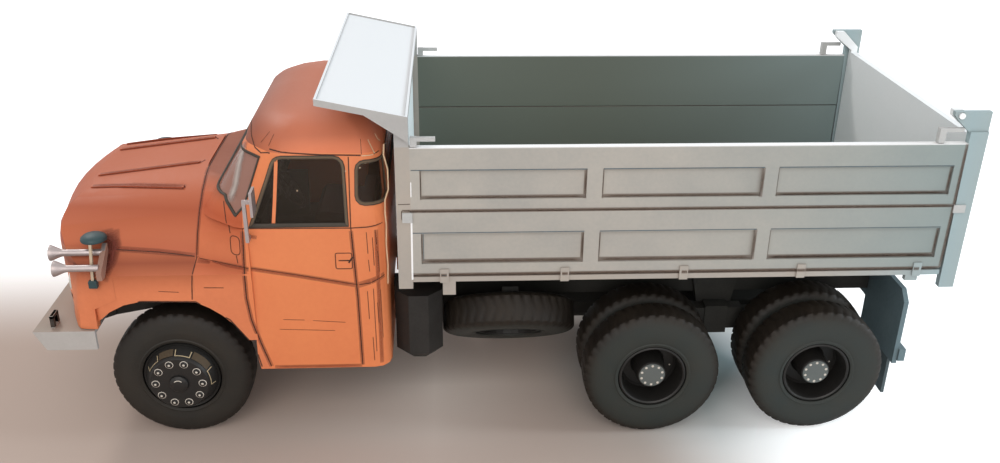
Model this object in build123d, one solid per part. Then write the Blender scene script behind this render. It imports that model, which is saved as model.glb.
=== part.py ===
from build123d import *
import math
import os

# Card model of a bonneted three-axle tipper truck, in millimetres at the model's own size.
# Row frame: +X forward, +Y to the vehicle's left, +Z up, origin on the floor under the middle
# of the whole model. A station is a distance behind the front axle; back_from_axle() turns it into X.
# Round card is folded from flat strips, as in the real model, and only shafts and pins are true rounds.

# Card and clearances
card = 0.9
running_gap = 0.05
seat_gap = 0.3
board_gap = 0.15
flat_limit = 0.0001

# Wheels
wheel_radius = 16.9
tyre_width = 9.0
twin_gap = 1.6
wheel_sides = 24
lug_height = 0.9
lug_share = 0.58
tyre_round = 1.3
tyre_shoulder = 2.1
rim_radius = 8.4
front_rim_radius = 9.4
rim_wall = 0.8
rim_edge = 0.8
front_bulge = 3.0
front_plate_radius = 7.0
front_web = 1.5
dish_depth = 7.0
dish_web = 2.0
hub_radius = 3.6
hub_setback = 1.0
nut_count = 10
nut_ring_radius = 5.5
nut_radius = 1.0
nut_height = 0.5
cap_radius = 2.2
cap_height = 1.0
axle_radius = 1.6
axle_end_gap = 0.3
half_axle_radius = 2.4
drum_radius = 5.0
drum_width = 4.0
kingpin_radius = 1.8
kingpin_height = 8.4

# Chassis
backbone_radius = 4.0
backbone_nose = 6.0
backbone_tail = 8.0
saddle_height = 5.5
rail_height = 5.0
rail_width = 3.0
rail_offset = 11.0
rail_start_station = 17.0
cross_member = 3.0
subframe_rise = 2.2
subframe_height = 8.3
subframe_offset = 8.0
subframe_width = 3.0
bearer_height = 3.0
bearer_width = 2.4
bearer_setback = 4.0
bearer_count = 7

# Cab: lengths, heights and half widths
front_overhang = 32.2
nose_setback = 2.4
door_setback = 1.7
door_length = 25.0
back_panel_length = 7.6
skirt_height = 19.7
door_height = 37.2
window_height = 16.3
roof_rise = 7.4
hood_rise = 6.9
hood_drop = 5.4
cab_half_width = 36.4
belt_draw = 1.0
gutter_draw = 4.7
windscreen_base = 7.2
windscreen_rake = 10.8
windscreen_low_half = 27.0
windscreen_high_half = 22.0
pillar_base = 17.5
pillar_rake = 8.5
cab_corner = 4.0
floor_clearance = 0.4

# Bed
bed_gap = 2.6
rear_overhang = 29.95
bed_half_width = 38.6
bed_wall = 1.7
floor_thickness = 1.6
floor_step = 2.4
lower_board_height = 17.9
upper_board_height = 15.4
board_frame = 0.6
top_rail = 5.4
bottom_rail = 2.8
end_stile = 2.1
stile_width = 3.5
stile_places = (0.315, 0.633)
front_post_width = 3.3
rear_post_width = 4.2
post_drop = 1.7
rear_post_drop = 3.4
rear_post_rise = 2.6
rear_post_flare = 0.6
hinge_bar_height = 1.3
strap_width = 2.0
strap_thickness = 0.35
strap_count = 5
canopy_side = 2.1
canopy_clearance = 4.4
canopy_rise = 4.1
canopy_reach = 19.6
canopy_thickness = 1.5
canopy_rim = 0.5
gusset_drop = 5.8
gusset_length = 9.5

# Tipping shaft and tailgate pivot
tip_setback = 10.5
tip_rise = 6.8
tip_shaft_radius = 1.5
gate_pin_radius = 0.7
gate_gap = 0.35
gate_thickness = 1.8
gate_setback = 1.4
gate_rise = 1.2
gate_rib = 1.0
gate_rib_count = 5
pivot_setback = 6.9
pivot_rise = 3.7
ear_margin = 0.9

# Fittings
bumper_margin = 0.9
bumper_height = 5.0
bumper_front = 1.2
bumper_chamfer = 2.6
pot_radius = 6.2
pot_clearance = 0.6
spare_nest = 0.5
spare_clearance = 0.9
spare_tilt = 53.0
plate_thickness = 1.2
plate_gap = 2.4
mirror_reach = 4.0
horn_length = 11.8

# Worked out from the driving sizes: wheels and stations
pot_station = wheel_radius + door_setback + door_length + back_panel_length + pot_clearance + pot_radius
spare_station = pot_station + pot_radius - spare_nest + wheel_radius
wheelbase = spare_station + wheel_radius + spare_clearance + wheel_radius
bogie_gap = 7.45
axle_stations = (0.0, wheelbase, wheelbase + 2 * wheel_radius + bogie_gap)
door_front_station = wheel_radius + door_setback
door_rear_station = door_front_station + door_length
cab_back_station = door_rear_station + back_panel_length
bed_start_station = cab_back_station + bed_gap
bed_end_station = axle_stations[2] + rear_overhang
overall_length = front_overhang + bed_end_station
front_axle_x = overall_length / 2 - front_overhang
tip_station = bed_end_station - tip_setback
rear_plate_station = tip_station + plate_gap
board_start = bed_start_station + front_post_width
board_end = bed_end_station - rear_post_width
pivot_station = bed_end_station - pivot_setback

# Worked out from the driving sizes: heights and widths
backbone_height = wheel_radius
backbone_top = backbone_height + backbone_radius
rail_bottom = backbone_top + saddle_height
rail_top = rail_bottom + rail_height
subframe_bottom = rail_top + subframe_rise
bearer_bottom = subframe_bottom + subframe_height
bed_floor_bottom = bearer_bottom + bearer_height
bed_floor_top = bed_floor_bottom + floor_thickness
bed_bottom = bed_floor_top - floor_step
lower_board_bottom = bed_bottom + hinge_bar_height + 0.6
bed_split_height = bed_bottom + lower_board_height
bed_top_height = bed_split_height + upper_board_height
post_foot_height = bed_bottom - post_drop
rear_foot_height = bed_bottom - rear_post_drop
rear_post_top = bed_top_height + rear_post_rise
gate_pivot_height = rear_post_top + pivot_rise
ear_top = gate_pivot_height + ear_margin
tip_height = rail_top + tip_rise
belt_height = skirt_height + door_height
gutter_height = belt_height + window_height
roof_top_height = gutter_height + roof_rise
hood_rear_height = belt_height + hood_rise
hood_front_height = hood_rear_height - hood_drop
crease_front_height = belt_height - 5.7
crease_seam_height = belt_height - 8.5
fender_shoulder = belt_height - 11.3
cab_floor_height = rail_top + floor_clearance
bumper_top = rail_top + 0.2
fender_bottom = bumper_top + seat_gap
belt_half_width = cab_half_width - belt_draw
gutter_half_width = belt_half_width - gutter_draw
front_tyre_face = cab_half_width - 1.5
rear_tyre_face = bed_half_width + 0.6
bumper_half = cab_half_width + bumper_margin
bed_inside = bed_half_width - bed_wall
canopy_half_width = bed_half_width + canopy_side
canopy_rear_height = roof_top_height + canopy_clearance
canopy_lip_height = canopy_rear_height + canopy_rise

os.makedirs("parts", exist_ok=True)


# Placing and shaping
def back_from_axle(station):
    """X of a point that lies this far behind the front axle."""
    return front_axle_x - station


def write(name, *solids):
    """Write one node from its solids."""
    shape = solids[0] if len(solids) == 1 else Compound(children=list(solids))
    if isinstance(shape, (list, ShapeList)):
        shape = Compound(children=list(shape))
    export_step(shape, f"parts/{name}.step")


def block(station_0, station_1, y_0, y_1, z_0, z_1):
    """Axis-aligned block between two stations, two widths and two heights."""
    x_0 = back_from_axle(station_1)
    x_1 = back_from_axle(station_0)
    size = (x_1 - x_0, y_1 - y_0, z_1 - z_0)
    return Pos((x_0 + x_1) / 2, (y_0 + y_1) / 2, (z_0 + z_1) / 2) * Box(*size)


def side_prism(outline, y_0, y_1):
    """Prism across the truck from an outline of (station, height) points."""
    points = [(back_from_axle(s), y_0, z) for s, z in outline]
    return extrude(make_face(Polyline(*points, close=True)), amount=y_1 - y_0, dir=(0, 1, 0))


def front_prism(outline, station_0, station_1):
    """Prism along the truck from an outline of (width, height) points."""
    points = [(back_from_axle(station_0), y, z) for y, z in outline]
    return extrude(make_face(Polyline(*points, close=True)), amount=station_1 - station_0, dir=(-1, 0, 0))


def plan_prism(outline, z_0, z_1):
    """Upright prism from an outline of (station, width) points."""
    points = [(back_from_axle(s), y, z_0) for s, y in outline]
    return extrude(make_face(Polyline(*points, close=True)), amount=z_1 - z_0, dir=(0, 0, 1))


def cross_rod(station, height, y_0, y_1, radius):
    """True round bar across the truck."""
    centre = (back_from_axle(station), (y_0 + y_1) / 2, height)
    return Pos(*centre) * (Rot(90, 0, 0) * Cylinder(radius, y_1 - y_0))


def mirrored(shape):
    """The same shape on the right-hand side."""
    return mirror(shape, about=Plane.XZ)


def both_sides(shape):
    """A left-hand shape and its twin on the right."""
    return [shape, mirrored(shape)]


def fused(shapes):
    """One solid from shapes that meet."""
    whole = shapes[0]
    for shape in shapes[1:]:
        whole += shape
    return whole


def folded_arc(start, middle, end, strips=4):
    """Points of an arc through three points, folded into flat strips, both ends included."""
    arc = ThreePointArc(start, middle, end)
    places = [arc @ (index / strips) for index in range(strips + 1)]
    return [(place.X, place.Y) for place in places]


def folded_corner(before, corner, after, radius, strips=3):
    """Points of a rounded corner folded into flat strips."""
    corner = Vector(*corner)
    to_before = (Vector(*before) - corner).normalized()
    to_after = (Vector(*after) - corner).normalized()
    half_angle = math.radians(to_before.get_angle(to_after) / 2)
    reach = radius / math.tan(half_angle)
    centre = corner + (to_before + to_after).normalized() * (radius / math.sin(half_angle))
    middle = centre + (corner - centre).normalized() * radius
    return folded_arc(corner + to_before * reach, middle, corner + to_after * reach, strips)


def folded_outline(corners):
    """Closed outline from (point, radius) corners, a radius of 0 leaving the corner sharp."""
    points = []
    for index, (corner, radius) in enumerate(corners):
        before = corners[index - 1][0]
        after = corners[(index + 1) % len(corners)][0]
        points += folded_corner(before, corner, after, radius) if radius else [corner]
    return points


def ring_points(radius, sides):
    """Corners of a many-sided ring whose flats touch this radius, one flat at the bottom."""
    reach = radius / math.cos(math.pi / sides)
    angles = [(2 * index + 1) * math.pi / sides - math.pi / 2 for index in range(sides)]
    return [(reach * math.cos(angle), reach * math.sin(angle)) for angle in angles]


def flat_face(corners):
    """Plane face through its corners."""
    return Face(Wire.make_polygon(corners, close=True))


def skinned(rings):
    """Solid with flat walls through rings of (x, y, z) corners, a twisted wall being folded on its diagonal."""
    faces = [flat_face(rings[0]), flat_face(rings[-1])]
    for lower, upper in zip(rings, rings[1:]):
        for index in range(len(lower)):
            after = (index + 1) % len(lower)
            wall = [Vector(*corner) for corner in (lower[index], lower[after], upper[after], upper[index])]
            across = (wall[1] - wall[0]).cross(wall[2] - wall[0]).normalized()
            if abs((wall[3] - wall[0]).dot(across)) > flat_limit:
                faces += [flat_face(wall[:3]), flat_face([wall[0], wall[2], wall[3]])]
            else:
                faces.append(flat_face(wall))
    return Solid(Shell(faces))


def stacked(levels):
    """Solid about the Y axis through (outline, width) levels, with flat walls between them."""
    return skinned([[(x, y, z) for x, z in outline] for outline, y in levels])


def turned(profile, sides):
    """Many-sided turned solid from (radius, width) steps."""
    return stacked([(ring_points(radius, sides), y) for radius, y in profile])


def at_axle(shape, station):
    """Move a wheel part from the frame's origin to its axle."""
    return Pos(back_from_axle(station), 0, wheel_radius) * shape


# Tyres and wheels, drawn about the Y axis at the origin with widths from the truck's middle
def lug_points(radius):
    """Tread outline: a flat lug over each second side, and the groove between two lugs."""
    lug_count = wheel_sides // 2
    pitch = 2 * math.pi / lug_count
    lug_half = pitch * lug_share / 2
    wall = math.asin(0.25 * lug_height / radius)
    tip = radius / math.cos(lug_half)
    points = []
    for index in range(lug_count):
        middle = index * pitch - math.pi / 2
        for angle, reach in ((middle - lug_half - wall, radius - lug_height), (middle - lug_half, tip),
                             (middle + lug_half, tip), (middle + lug_half + wall, radius - lug_height)):
            points.append((reach * math.cos(angle), reach * math.sin(angle)))
    return points


def tyre(outer_face, bore, lugged=True):
    """Tyre with chamfered shoulders, out to its lugs' tips, its outer wall at this width."""
    inner_face = outer_face - tyre_width
    outline = lug_points(wheel_radius) if lugged else ring_points(wheel_radius, wheel_sides)
    share = 1 - tyre_shoulder / wheel_radius
    drawn_in = [(share * x, share * z) for x, z in outline]
    body = stacked([(drawn_in, inner_face), (outline, inner_face + tyre_round),
                    (outline, outer_face - tyre_round), (drawn_in, outer_face)])
    return body - turned([(bore, inner_face - 1), (bore, outer_face + 1)], wheel_sides)


def front_disc():
    """Bulging front wheel with its ring of nuts and a hub cap, hollow behind."""
    face = front_tyre_face
    inner = face - tyre_width + rim_edge
    front = face + front_bulge
    disc = turned([(front_rim_radius, inner), (front_rim_radius, face - rim_edge),
                   (front_plate_radius, front)], wheel_sides)
    disc -= turned([(front_rim_radius - rim_wall, inner - 1), (front_rim_radius - rim_wall, face - front_web)],
                   wheel_sides)
    disc += turned([(cap_radius, front - 0.1), (cap_radius, front + 0.6 * cap_height),
                    (cap_radius * 0.7, front + cap_height)], 12)
    for index in range(nut_count):
        angle = 2 * math.pi * (index + 0.5) / nut_count
        nut = turned([(nut_radius, front - 0.1), (nut_radius, front + nut_height)], 6)
        disc += Pos(nut_ring_radius * math.cos(angle), 0, nut_ring_radius * math.sin(angle)) * nut
    bore_radius = axle_radius + 2 * running_gap
    return disc - turned([(bore_radius, face - front_web - 1), (bore_radius, face + 1.6)], 12)


def rear_dish():
    """Deep rear dish that carries both tyres, with its hub standing out."""
    face = rear_tyre_face
    inner = face - 2 * tyre_width - twin_gap + rim_edge
    opening = rim_radius - rim_wall
    floor = face - dish_depth
    dish = turned([(rim_radius, inner), (rim_radius, face - rim_edge)], wheel_sides)
    dish -= turned([(opening - 0.6, floor), (opening, face)], wheel_sides)
    dish -= turned([(opening, inner - 1), (opening, floor - dish_web)], wheel_sides)
    dish += turned([(hub_radius + 0.6, floor - 0.1), (hub_radius, face - hub_setback)], 12)
    bore_end = face - hub_setback - 1.6
    bore = turned([(axle_radius + 2 * running_gap, floor - dish_web - 1),
                   (axle_radius + 2 * running_gap, bore_end)], 12)
    return dish - bore


front_tyre = at_axle(tyre(front_tyre_face, front_rim_radius), axle_stations[0])
front_wheel = at_axle(front_disc(), axle_stations[0])
write("front_tyre_left", front_tyre)
write("front_tyre_right", mirrored(front_tyre))
write("front_disc_left", front_wheel)
write("front_disc_right", mirrored(front_wheel))

outer_twin = tyre(rear_tyre_face, rim_radius)
inner_twin = tyre(rear_tyre_face - tyre_width - twin_gap, rim_radius, lugged=False)
twin_dish = rear_dish()
for place, station in (("middle", axle_stations[1]), ("rear", axle_stations[2])):
    outer = at_axle(outer_twin, station)
    inner = at_axle(inner_twin, station)
    dish = at_axle(twin_dish, station)
    write(f"{place}_tyres_left", outer, inner)
    write(f"{place}_tyres_right", mirrored(outer), mirrored(inner))
    write(f"{place}_dish_left", dish)
    write(f"{place}_dish_right", mirrored(dish))

# Chassis: one central tube that the axles cross, and two rails over it
tunnel_half = axle_radius + running_gap
backbone_points = [(x, z + backbone_height) for x, z in ring_points(backbone_radius, 8)]
backbone = front_prism(backbone_points, -backbone_nose, axle_stations[2] + backbone_tail)
for station in axle_stations:
    backbone -= block(station - tunnel_half, station + tunnel_half, -backbone_radius - 1, backbone_radius + 1,
                      wheel_radius - tunnel_half, wheel_radius + tunnel_half)
write("backbone", backbone)


def half_axle(inner_face, steered):
    """Tube round the shaft from the backbone to the brake drum inside the wheel."""
    drum_start = inner_face + rim_edge + seat_gap
    tube = turned([(half_axle_radius, backbone_radius), (half_axle_radius, drum_start + 0.1)], 12)
    tube += turned([(drum_radius, drum_start), (drum_radius, drum_start + drum_width)], 12)
    if steered:
        kingpin = extrude(RegularPolygon(kingpin_radius, 8, major_radius=False), amount=kingpin_height)
        tube += Pos(0, drum_start - kingpin_radius - 1.0, -kingpin_height / 2) * kingpin
    bore = axle_radius + 2 * running_gap
    return tube - turned([(bore, 0), (bore, drum_start + drum_width + 1)], 12)


# Columns: name, station, shaft end from the middle, inner face of the wheel, whether it steers
axle_table = (
    ("front_axle", axle_stations[0], front_tyre_face + 1.6 - axle_end_gap, front_tyre_face - tyre_width, True),
    ("middle_axle", axle_stations[1], rear_tyre_face - hub_setback - 1.6 - axle_end_gap,
     rear_tyre_face - 2 * tyre_width - twin_gap, False),
    ("rear_axle", axle_stations[2], rear_tyre_face - hub_setback - 1.6 - axle_end_gap,
     rear_tyre_face - 2 * tyre_width - twin_gap, False))
for name, station, shaft_end, inner_face, steered in axle_table:
    shaft = cross_rod(station, wheel_radius, -shaft_end, shaft_end, axle_radius)
    arm = at_axle(half_axle(inner_face, steered), station)
    write(name, shaft, arm, mirrored(arm))

cross_stations = (rail_start_station + cross_member / 2, bed_start_station + 4,
                  axle_stations[1] - 1.5 * wheel_radius, axle_stations[1], axle_stations[2],
                  rear_plate_station - cross_member / 2)
rail_inner = rail_offset - rail_width / 2
rail_outer = rail_offset + rail_width / 2
rail = block(rail_start_station, rear_plate_station, rail_inner, rail_outer, rail_bottom, rail_top)
rail_pieces = both_sides(rail)
for station in cross_stations:
    rail_pieces.append(block(station - cross_member / 2, station + cross_member / 2, -rail_offset, rail_offset,
                             rail_bottom + 0.4, rail_top - 0.4))
for station in (cross_stations[0], axle_stations[1], axle_stations[2]):
    rail_pieces.append(block(station - cross_member / 2, station + cross_member / 2, -1.6, 1.6, backbone_top,
                             rail_bottom + 1))
tip_ear = [(tip_station - 3.5, rail_top - 1), (tip_station - 2.0, tip_height + 1.2),
           (tip_station - 1.0, tip_height + 2.2), (tip_station + 1.0, tip_height + 2.2),
           (tip_station + 2.0, tip_height + 1.2), (tip_station + 2.2, rail_top - 1)]
ear_plate = side_prism(tip_ear, rail_outer - 1.4, rail_outer)
rail_pieces += both_sides(ear_plate)
rail_pieces.append(cross_rod(tip_station, tip_height, -rail_outer + 1, rail_outer - 1, tip_shaft_radius))
write("frame_rails", fused(rail_pieces))

# Bogie springs: a leaf pack on each side, over both rear axles, on a bracket against its rail
bogie_station = (axle_stations[1] + axle_stations[2]) / 2
spring_reach = bogie_station - axle_stations[1] + 3.0
spring_inner = rail_outer + 1.5
spring_outer = spring_inner + 3.6
leaf_foot = wheel_radius + half_axle_radius + seat_gap
# Columns: share of the reach, height over the axle tubes; lower edge first, then the leaves' steps
spring_table = ((1.0, 0.0), (0.75, 0.0), (0.5, -1.9), (-0.5, -1.9), (-0.75, 0.0), (-1.0, 0.0), (-1.0, 1.0),
                (-0.8, 1.0), (-0.8, 2.1), (-0.55, 2.1), (-0.55, 3.2), (-0.3, 3.2), (-0.3, 4.3), (0.3, 4.3),
                (0.3, 3.2), (0.55, 3.2), (0.55, 2.1), (0.8, 2.1), (0.8, 1.0), (1.0, 1.0))
spring_outline = [(bogie_station + share * spring_reach, leaf_foot + rise) for share, rise in spring_table]
spring_bracket = [(bogie_station - 6.0, rail_top - 0.4), (bogie_station + 6.0, rail_top - 0.4),
                  (bogie_station + 3.0, leaf_foot - 3.0), (bogie_station - 3.0, leaf_foot - 3.0)]
spring = side_prism(spring_outline, spring_inner, spring_outer)
spring += side_prism(spring_bracket, rail_outer, spring_inner + 0.1)
spring += block(bogie_station - 3.0, bogie_station + 3.0, spring_inner, spring_outer + 0.4, leaf_foot - 3.0,
                leaf_foot + 5.0)
write("bogie_springs", *both_sides(spring))

# Bumper: a folded card channel with two towing eyes, on arms from the backbone
bumper_end = -wheel_radius - 1.0
bumper_bottom = bumper_top - bumper_height
bumper_outline = [(-front_overhang, bumper_top), (bumper_end, bumper_top), (bumper_end, bumper_bottom),
                  (-front_overhang + bumper_chamfer, bumper_bottom)]
bumper_inside = [(-front_overhang + bumper_front, bumper_top - card), (0, bumper_top - card),
                 (0, bumper_bottom - 1), (-front_overhang + bumper_front + bumper_chamfer, bumper_bottom - 1)]
bumper = side_prism(bumper_outline, -bumper_half, bumper_half)
bumper -= side_prism(bumper_inside, -bumper_half + card, bumper_half - card)
arm_start = -front_overhang + bumper_front + 0.5
arm_bottom = bumper_top - card - 2.4
arm_width = 3.0
cross_bar_end = -backbone_nose + 3.0
bumper_pieces = [bumper]
arm = block(arm_start, cross_bar_end, rail_inner, rail_inner + arm_width, arm_bottom, bumper_top - card + 0.1)
bumper_pieces += both_sides(arm)
bumper_pieces.append(block(-backbone_nose, cross_bar_end, -rail_inner - 1, rail_inner + 1, arm_bottom,
                           bumper_top - card))
bumper_pieces.append(block(-backbone_nose, cross_bar_end, -1.6, 1.6, backbone_top, arm_bottom + 1))
eye_station = -front_overhang + 3.8
eye_y = bumper_half - 5.0
eye_width = 3.2
eye_height = 3.2
eye_wall = 0.8
towing_eye = block(eye_station, eye_station + eye_wall, eye_y, eye_y + eye_width, bumper_top - 0.1,
                   bumper_top + eye_height)
towing_eye -= block(eye_station - 1, eye_station + 2, eye_y + eye_wall, eye_y + eye_width - eye_wall,
                    bumper_top + 0.4, bumper_top + eye_height - eye_wall)
bumper_pieces += both_sides(towing_eye)
write("bumper", fused(bumper_pieces))

# Front body: hood over, fenders outside, one closed form first
# Wheel arch: stations and heights as shares of the wheel's radius
arch_shape = [(1.166, 0.5)] + folded_arc((1.166, 1.166), (0.805, 1.964), (0.367, 2.272), 7)
arch_shape += folded_arc((-0.39, 2.296), (-0.722, 2.2), (-1.006, 1.982), 3) + [(-1.041, 1.716), (-1.041, 0.5)]
arch_outline = [(wheel_radius * along, wheel_radius * up) for along, up in arch_shape]
seam_station = 6.4
body_front_station = -front_overhang + 1.2
nose_reach = front_overhang - nose_setback
crease_front_half = cab_half_width - 5.6
crease_seam_half = cab_half_width - 4.0
body_limit = 50.0


def crease_at(station):
    """Half width and height of the crease between hood and fender at a station."""
    share = (station - body_front_station) / (seam_station - body_front_station)
    half = crease_front_half + share * (crease_seam_half - crease_front_half)
    height = crease_front_height + share * (crease_seam_height - crease_front_height)
    return half, height


def body_section(station, top, flat, bulge, crease, inset):
    """Cross-section of hood, crease and fender side, drawn in by this much."""
    x = back_from_axle(station)
    side = cab_half_width - inset
    bulge_in = (bulge[0] - 0.7 * inset, bulge[1] - 0.7 * inset)
    crease_in = (crease[0] - inset, crease[1] - 0.6 * inset)
    half = folded_arc((flat, top - inset), bulge_in, crease_in, 5)
    half += [(side, fender_shoulder - 0.4 * inset), (side, fender_bottom - 4)]
    whole = half + [(-y, z) for y, z in reversed(half)]
    return [(x, y, z) for y, z in whole]


def section_front(inset):
    """Section at the nose."""
    bulge = (cab_half_width - 13.9, hood_front_height - 2.4)
    return body_section(body_front_station, hood_front_height, 8.5, bulge,
                        (crease_front_half, crease_front_height), inset)


def section_seam(inset):
    """Section where the hood meets the cowl."""
    bulge = (cab_half_width - 11.4, hood_rear_height - 6.9)
    return body_section(seam_station, hood_rear_height - 0.6, 9.5, bulge,
                        (crease_seam_half, crease_seam_height), inset)


def section_door(inset):
    """Section where the cowl meets the doors."""
    bulge = (cab_half_width - 7.0, hood_rear_height - 2.6)
    return body_section(door_front_station + 1.0, hood_rear_height, 16.0, bulge,
                        (belt_half_width, belt_height), inset)


# Nose: how far each level is set back. Columns: height over the hood's front edge, setback
brow_table = ((-4.2, 0.7), (-1.8, 2.0), (-0.1, 4.4), (0.8, 7.0), (20.0, 8.5))
# Columns: height over the fender's lower edge, setback
chin_table = ((-12.0, 3.0), (-2.0, 1.0), (6.1, 0.0))


def nose_ring(height, setback, inset):
    """Plan outline of the nose at a height, with the rounded front corners of the fenders."""
    side = cab_half_width - inset
    bend = 0.7 * inset
    corner = (-wheel_radius + 0.9 + 0.3 * setback, side)
    shoulder = (-nose_reach + 2.4 + inset + setback, cab_half_width - 16.4 - 0.3 * setback)
    middle = (-nose_reach + 6.2 + bend + 0.8 * setback, cab_half_width - 5.4 - bend - 0.3 * setback)
    corner_arc = folded_arc(corner, middle, shoulder, 5)
    front_arc = folded_arc(shoulder, (-nose_reach + inset + setback, 0), (shoulder[0], -shoulder[1]), 6)
    other_side = [(s, -y) for s, y in reversed(corner_arc)]
    plan = corner_arc + front_arc[1:-1] + other_side + [(30, -side), (30, side)]
    return [(back_from_axle(s), y, height) for s, y in plan]


def front_body(inset):
    """Front body as a closed form, drawn in by this much."""
    levels = [nose_ring(fender_bottom + rise, setback, inset) for rise, setback in chin_table]
    levels.append(nose_ring(crease_front_height - 0.2, 0.0, inset))
    levels += [nose_ring(hood_front_height + rise - inset, setback, inset) for rise, setback in brow_table]
    return skinned([section_seam(inset), section_front(inset)]) & skinned(levels)


front_shell = front_body(0) - front_body(card)
front_shell -= block(-60, 40, -body_limit, body_limit, 0, fender_bottom)
front_shell -= side_prism(arch_outline, -body_limit, body_limit)
hood_line = [(30, crease_seam_height + 0.2), (seam_station, crease_seam_height + 0.2),
             (body_front_station, crease_front_height + 0.2), (-40, crease_front_height + 0.2), (-40, 80),
             (30, 80)]
hood_zone = side_prism(hood_line, -body_limit, body_limit)
hood = front_shell & hood_zone
rib_height = 0.35
rib_width = 0.9
rib_front = -nose_reach + 8.6
# Columns: width at the front, rear station, width at the rear
for y_front, rib_rear, y_rear in ((9.0, 4.0, 9.0), (15.0, 2.0, 18.6)):
    rib_plan = [(rib_front, y_front - rib_width / 2), (rib_front, y_front + rib_width / 2),
                (rib_rear, y_rear + rib_width / 2), (rib_rear, y_rear - rib_width / 2)]
    rib = plan_prism(rib_plan, crease_front_height, 80) & (front_body(-rib_height) - front_body(card / 2))
    hood += rib + mirrored(rib)
write("hood", hood)

lower_front = front_shell - hood_zone
lamp_y = cab_half_width - 8.8
lamp_z = fender_bottom + 9.1
lamp_radius = 3.4
nose_half = lamp_y - 5.6
nose_zone = block(-40, -20, -nose_half, nose_half, 20, 60)
grille_bottom = fender_bottom + 5.1
grille_height = 11.0
grille_half = nose_half - 3.5
grille_chamfer = 2.5
grille_top = grille_bottom + grille_height
grille_outline = [(-grille_half + grille_chamfer, grille_bottom), (grille_half - grille_chamfer, grille_bottom),
                  (grille_half, grille_bottom + grille_chamfer), (grille_half, grille_top - grille_chamfer),
                  (grille_half - grille_chamfer, grille_top), (-grille_half + grille_chamfer, grille_top),
                  (-grille_half, grille_top - grille_chamfer), (-grille_half, grille_bottom + grille_chamfer)]
grille_opening = front_prism(grille_outline, -40, -20)
write("nose", (lower_front & nose_zone) - grille_opening)
bar_count = 5
bar_height = 0.8
bar_pitch = (grille_height - bar_height) / (bar_count + 1)
grille_form = (front_body(seat_gap) - front_body(card)) & grille_opening
bar_zones = [block(-40, -20, -grille_half, grille_half, grille_bottom + index * bar_pitch,
                   grille_bottom + index * bar_pitch + bar_height) for index in range(1, bar_count + 1)]
bar_zones += [block(-40, -20, y - 0.4, y + 0.4, grille_bottom, grille_top) for y in (-9, 0, 9)]
write("grille", grille_form & fused(bar_zones))
lamp_points = [(lamp_y + x, lamp_z + z) for x, z in ring_points(lamp_radius, 12)]
lamp_bore = front_prism(lamp_points, -front_overhang, -19)
fenders = lower_front - nose_zone - lamp_bore - mirrored(lamp_bore)
write("fender_left", fenders & block(-40, 30, 0, body_limit, 0, 80))
write("fender_right", fenders & block(-40, 30, -body_limit, 0, 0, 80))
lens_points = [(lamp_y + x, lamp_z + z) for x, z in ring_points(lamp_radius - running_gap, 12)]
lens = front_prism(lens_points, -nose_reach + 5.6, -nose_reach + 9.6)
write("headlamps", *both_sides(lens))


# Cab body behind the seam
def cab_outline(height, front, front_half, pillar, half, rear, inset, corner):
    """Plan outline of the cab at a height, with rounded corners, drawn in by this much."""
    nose_y = front_half - 0.4 * inset
    side = half - inset
    tail = rear - inset
    left = folded_corner((front + inset, 0), (front + inset, nose_y), (pillar, side), 2.4 * corner, 4)
    left += folded_corner((front + inset, nose_y), (pillar, side), (tail, side), corner, 1)
    left += folded_corner((pillar, side), (tail, side), (tail, 0), corner, 4)
    whole = left + [(s, -y) for s, y in reversed(left)]
    return [(back_from_axle(s), y, height) for s, y in whole]


windscreen_top = windscreen_base + windscreen_rake
pillar_top = pillar_base + pillar_rake


def greenhouse(inset):
    """Window band of the cab, from the belt line to the gutter."""
    low = cab_outline(belt_height, windscreen_base, windscreen_low_half, pillar_base, belt_half_width,
                      cab_back_station, inset, cab_corner - inset)
    high = cab_outline(gutter_height, windscreen_top, windscreen_high_half, pillar_top, gutter_half_width,
                       cab_back_station - 1.0, inset, cab_corner - inset)
    return skinned([low, high])


def lower_cab(inset):
    """Cab body below the belt line, with rounded rear corners."""
    rings = []
    front = door_front_station + 0.6
    rear = cab_back_station - inset
    for height, half in ((skirt_height, cab_half_width), (belt_height, belt_half_width)):
        side = half - inset
        left = [(front, side)] + folded_corner((front, side), (rear, side), (rear, 0), cab_corner - inset)
        whole = left + [(s, -y) for s, y in reversed(left)]
        rings.append([(back_from_axle(s), y, height) for s, y in whole])
    return skinned(rings)


cowl_outer = skinned([section_seam(0), section_door(0)])
cowl_inner = skinned([section_seam(card), section_door(card)])
cab_outer = cowl_outer + lower_cab(0) + greenhouse(0)
cab_inner = cowl_inner + lower_cab(card) + greenhouse(card)
cab_shell = cab_outer - cab_inner
cab_shell -= side_prism(arch_outline, -body_limit, body_limit)
window_bottom = belt_height + 0.5
window_top = gutter_height - 1.0
door_window = folded_outline([((door_front_station + 2.0, window_bottom), 0),
                              ((pillar_top + 0.4, window_top), 2.2),
                              ((door_rear_station - 2.0, window_top), 2.2),
                              ((door_rear_station - 1.4, window_bottom), 0)])
quarter_window = folded_outline([((door_rear_station + 1.0, belt_height + 5.1), 1.8),
                                 ((door_rear_station + 1.2, gutter_height - 2.0), 1.8),
                                 ((60, gutter_height - 2.0), 0), ((60, belt_height + 5.1), 0)])
windscreen_side = [(0, belt_height + 1.7), (16.6, belt_height + 1.7), (19.2, belt_height + 4.7),
                   (22.6, gutter_height - 1.8), (0, gutter_height - 1.8)]
windscreen_front = [(0, hood_rear_height - 0.9), (cab_half_width - 16.4, hood_rear_height - 1.1),
                    (cab_half_width - 8.4, hood_rear_height - 1.7), (cab_half_width - 5.1, belt_height + 3.2),
                    (cab_half_width - 3.4, belt_height + 2.2), (cab_half_width, belt_height + 1.7),
                    (cab_half_width, 85), (0, 85)]
half_windscreen = side_prism(windscreen_side, -body_limit, body_limit) & front_prism(windscreen_front, 0, 30)
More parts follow.
